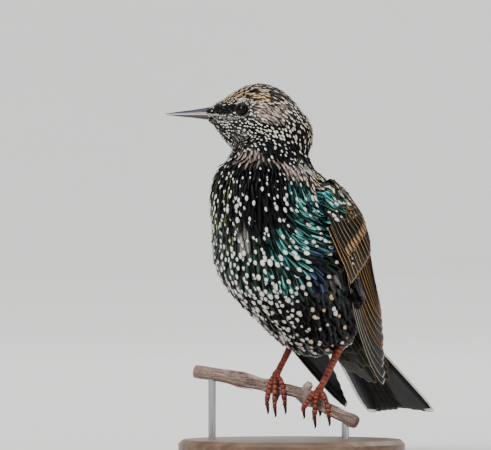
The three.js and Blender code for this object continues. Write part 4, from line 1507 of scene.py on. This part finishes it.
# Each light has a place, what it points at, its size and its power, in metres and watts.
BIRD_AT, WALL_AT = (0, 0, 0.1), (0, 9, 1.5)
LIGHTS = [
    ("key", (-1.3, -1.9, 2.1), BIRD_AT, 1.0, 74), ("fill", (2.2, -1.8, 0.9), BIRD_AT, 1.8, 18),
    ("rim", (1.0, 1.7, 1.9), BIRD_AT, 1.0, 30), ("top", (-0.2, 0.1, 2.6), BIRD_AT, 1.6, 22),
    ("glint", (-0.7, -1.7, 0.9), BIRD_AT, 0.16, 5), ("wall", (0, 3.5, 5.5), WALL_AT, 5.0, 420),
]
SKY, SKY_STRENGTH = (0.86, 0.88, 0.92, 1), 0.4
CAMERA_TILT, CAMERA_AWAY, CAMERA_LENS = math.radians(0.6), 5, 770
CAMERA_AT = (-0.022, 0, 0.1101)


def aim(obj, place, at):
    """Puts a lamp or camera in the scene at a place, pointed at another."""
    obj.location = place
    obj.rotation_euler = (Vector(at) - Vector(place)).to_track_quat("-Z", "Y").to_euler()
    bpy.context.scene.collection.objects.link(obj)


def make_floor():
    """Floor and wall in one sheet, with a curve between them."""
    profile = [(-9.0, 0.0), (6.0, 0.0)]
    profile += [(6 + 3 * math.sin(a), 3 - 3 * math.cos(a)) for a in np.linspace(0.1, math.pi / 2, 12)]
    profile += [(9.0, 12.0)]
    n = len(profile)
    mesh = bpy.data.meshes.new("floor")
    mesh.from_pydata([(x, y, z) for x in (-14.0, 14.0) for y, z in profile], [],
                     [(i, n + i, n + i + 1, i + 1) for i in range(n - 1)])
    mesh.shade_smooth()
    mesh.materials.append(PAPER)
    floor = bpy.data.objects.new("floor", mesh)
    bpy.context.scene.collection.objects.link(floor)
    return floor


def make_stage():
    """Floor, lights, the sky's soft fill and the camera."""
    floor = make_floor()
    for title, place, at, size, power in LIGHTS:
        light = bpy.data.lights.new(title, "AREA")
        light.size, light.energy = size, power
        aim(bpy.data.objects.new(title, light), place, at)
    world = bpy.data.worlds.new("studio")
    bpy.context.scene.world = world
    world.use_nodes = True
    sky = world.node_tree.nodes["Background"]
    sky.inputs[0].default_value = SKY
    sky.inputs[1].default_value = SKY_STRENGTH
    camera = bpy.data.cameras.new("camera")
    camera.sensor_width = 36
    camera.lens = CAMERA_LENS
    camera.clip_end = 60
    eye = bpy.data.objects.new("camera", camera)
    back = Vector((0, -CAMERA_AWAY * math.cos(CAMERA_TILT), CAMERA_AWAY * math.sin(CAMERA_TILT)))
    aim(eye, Vector(CAMERA_AT) + back, CAMERA_AT)
    bpy.context.scene.camera = eye


coat()
for wing_name, wing_frame in WINGS.items():
    feather_wing(wing_name, wing_frame)
feather_tail()
make_bill()
make_bill_base()
make_eyes()
make_perch()
make_leg("left", 13, 22.4, (-7.5, -2.2, 4.6), (-3, -7.5, -6.5))
make_leg("right", -7.5, 29.4, (-4.2, -0.6, 4.2), (-8, -9.5, -8))
make_stand()
make_stage()

bpy.context.view_layer.update()
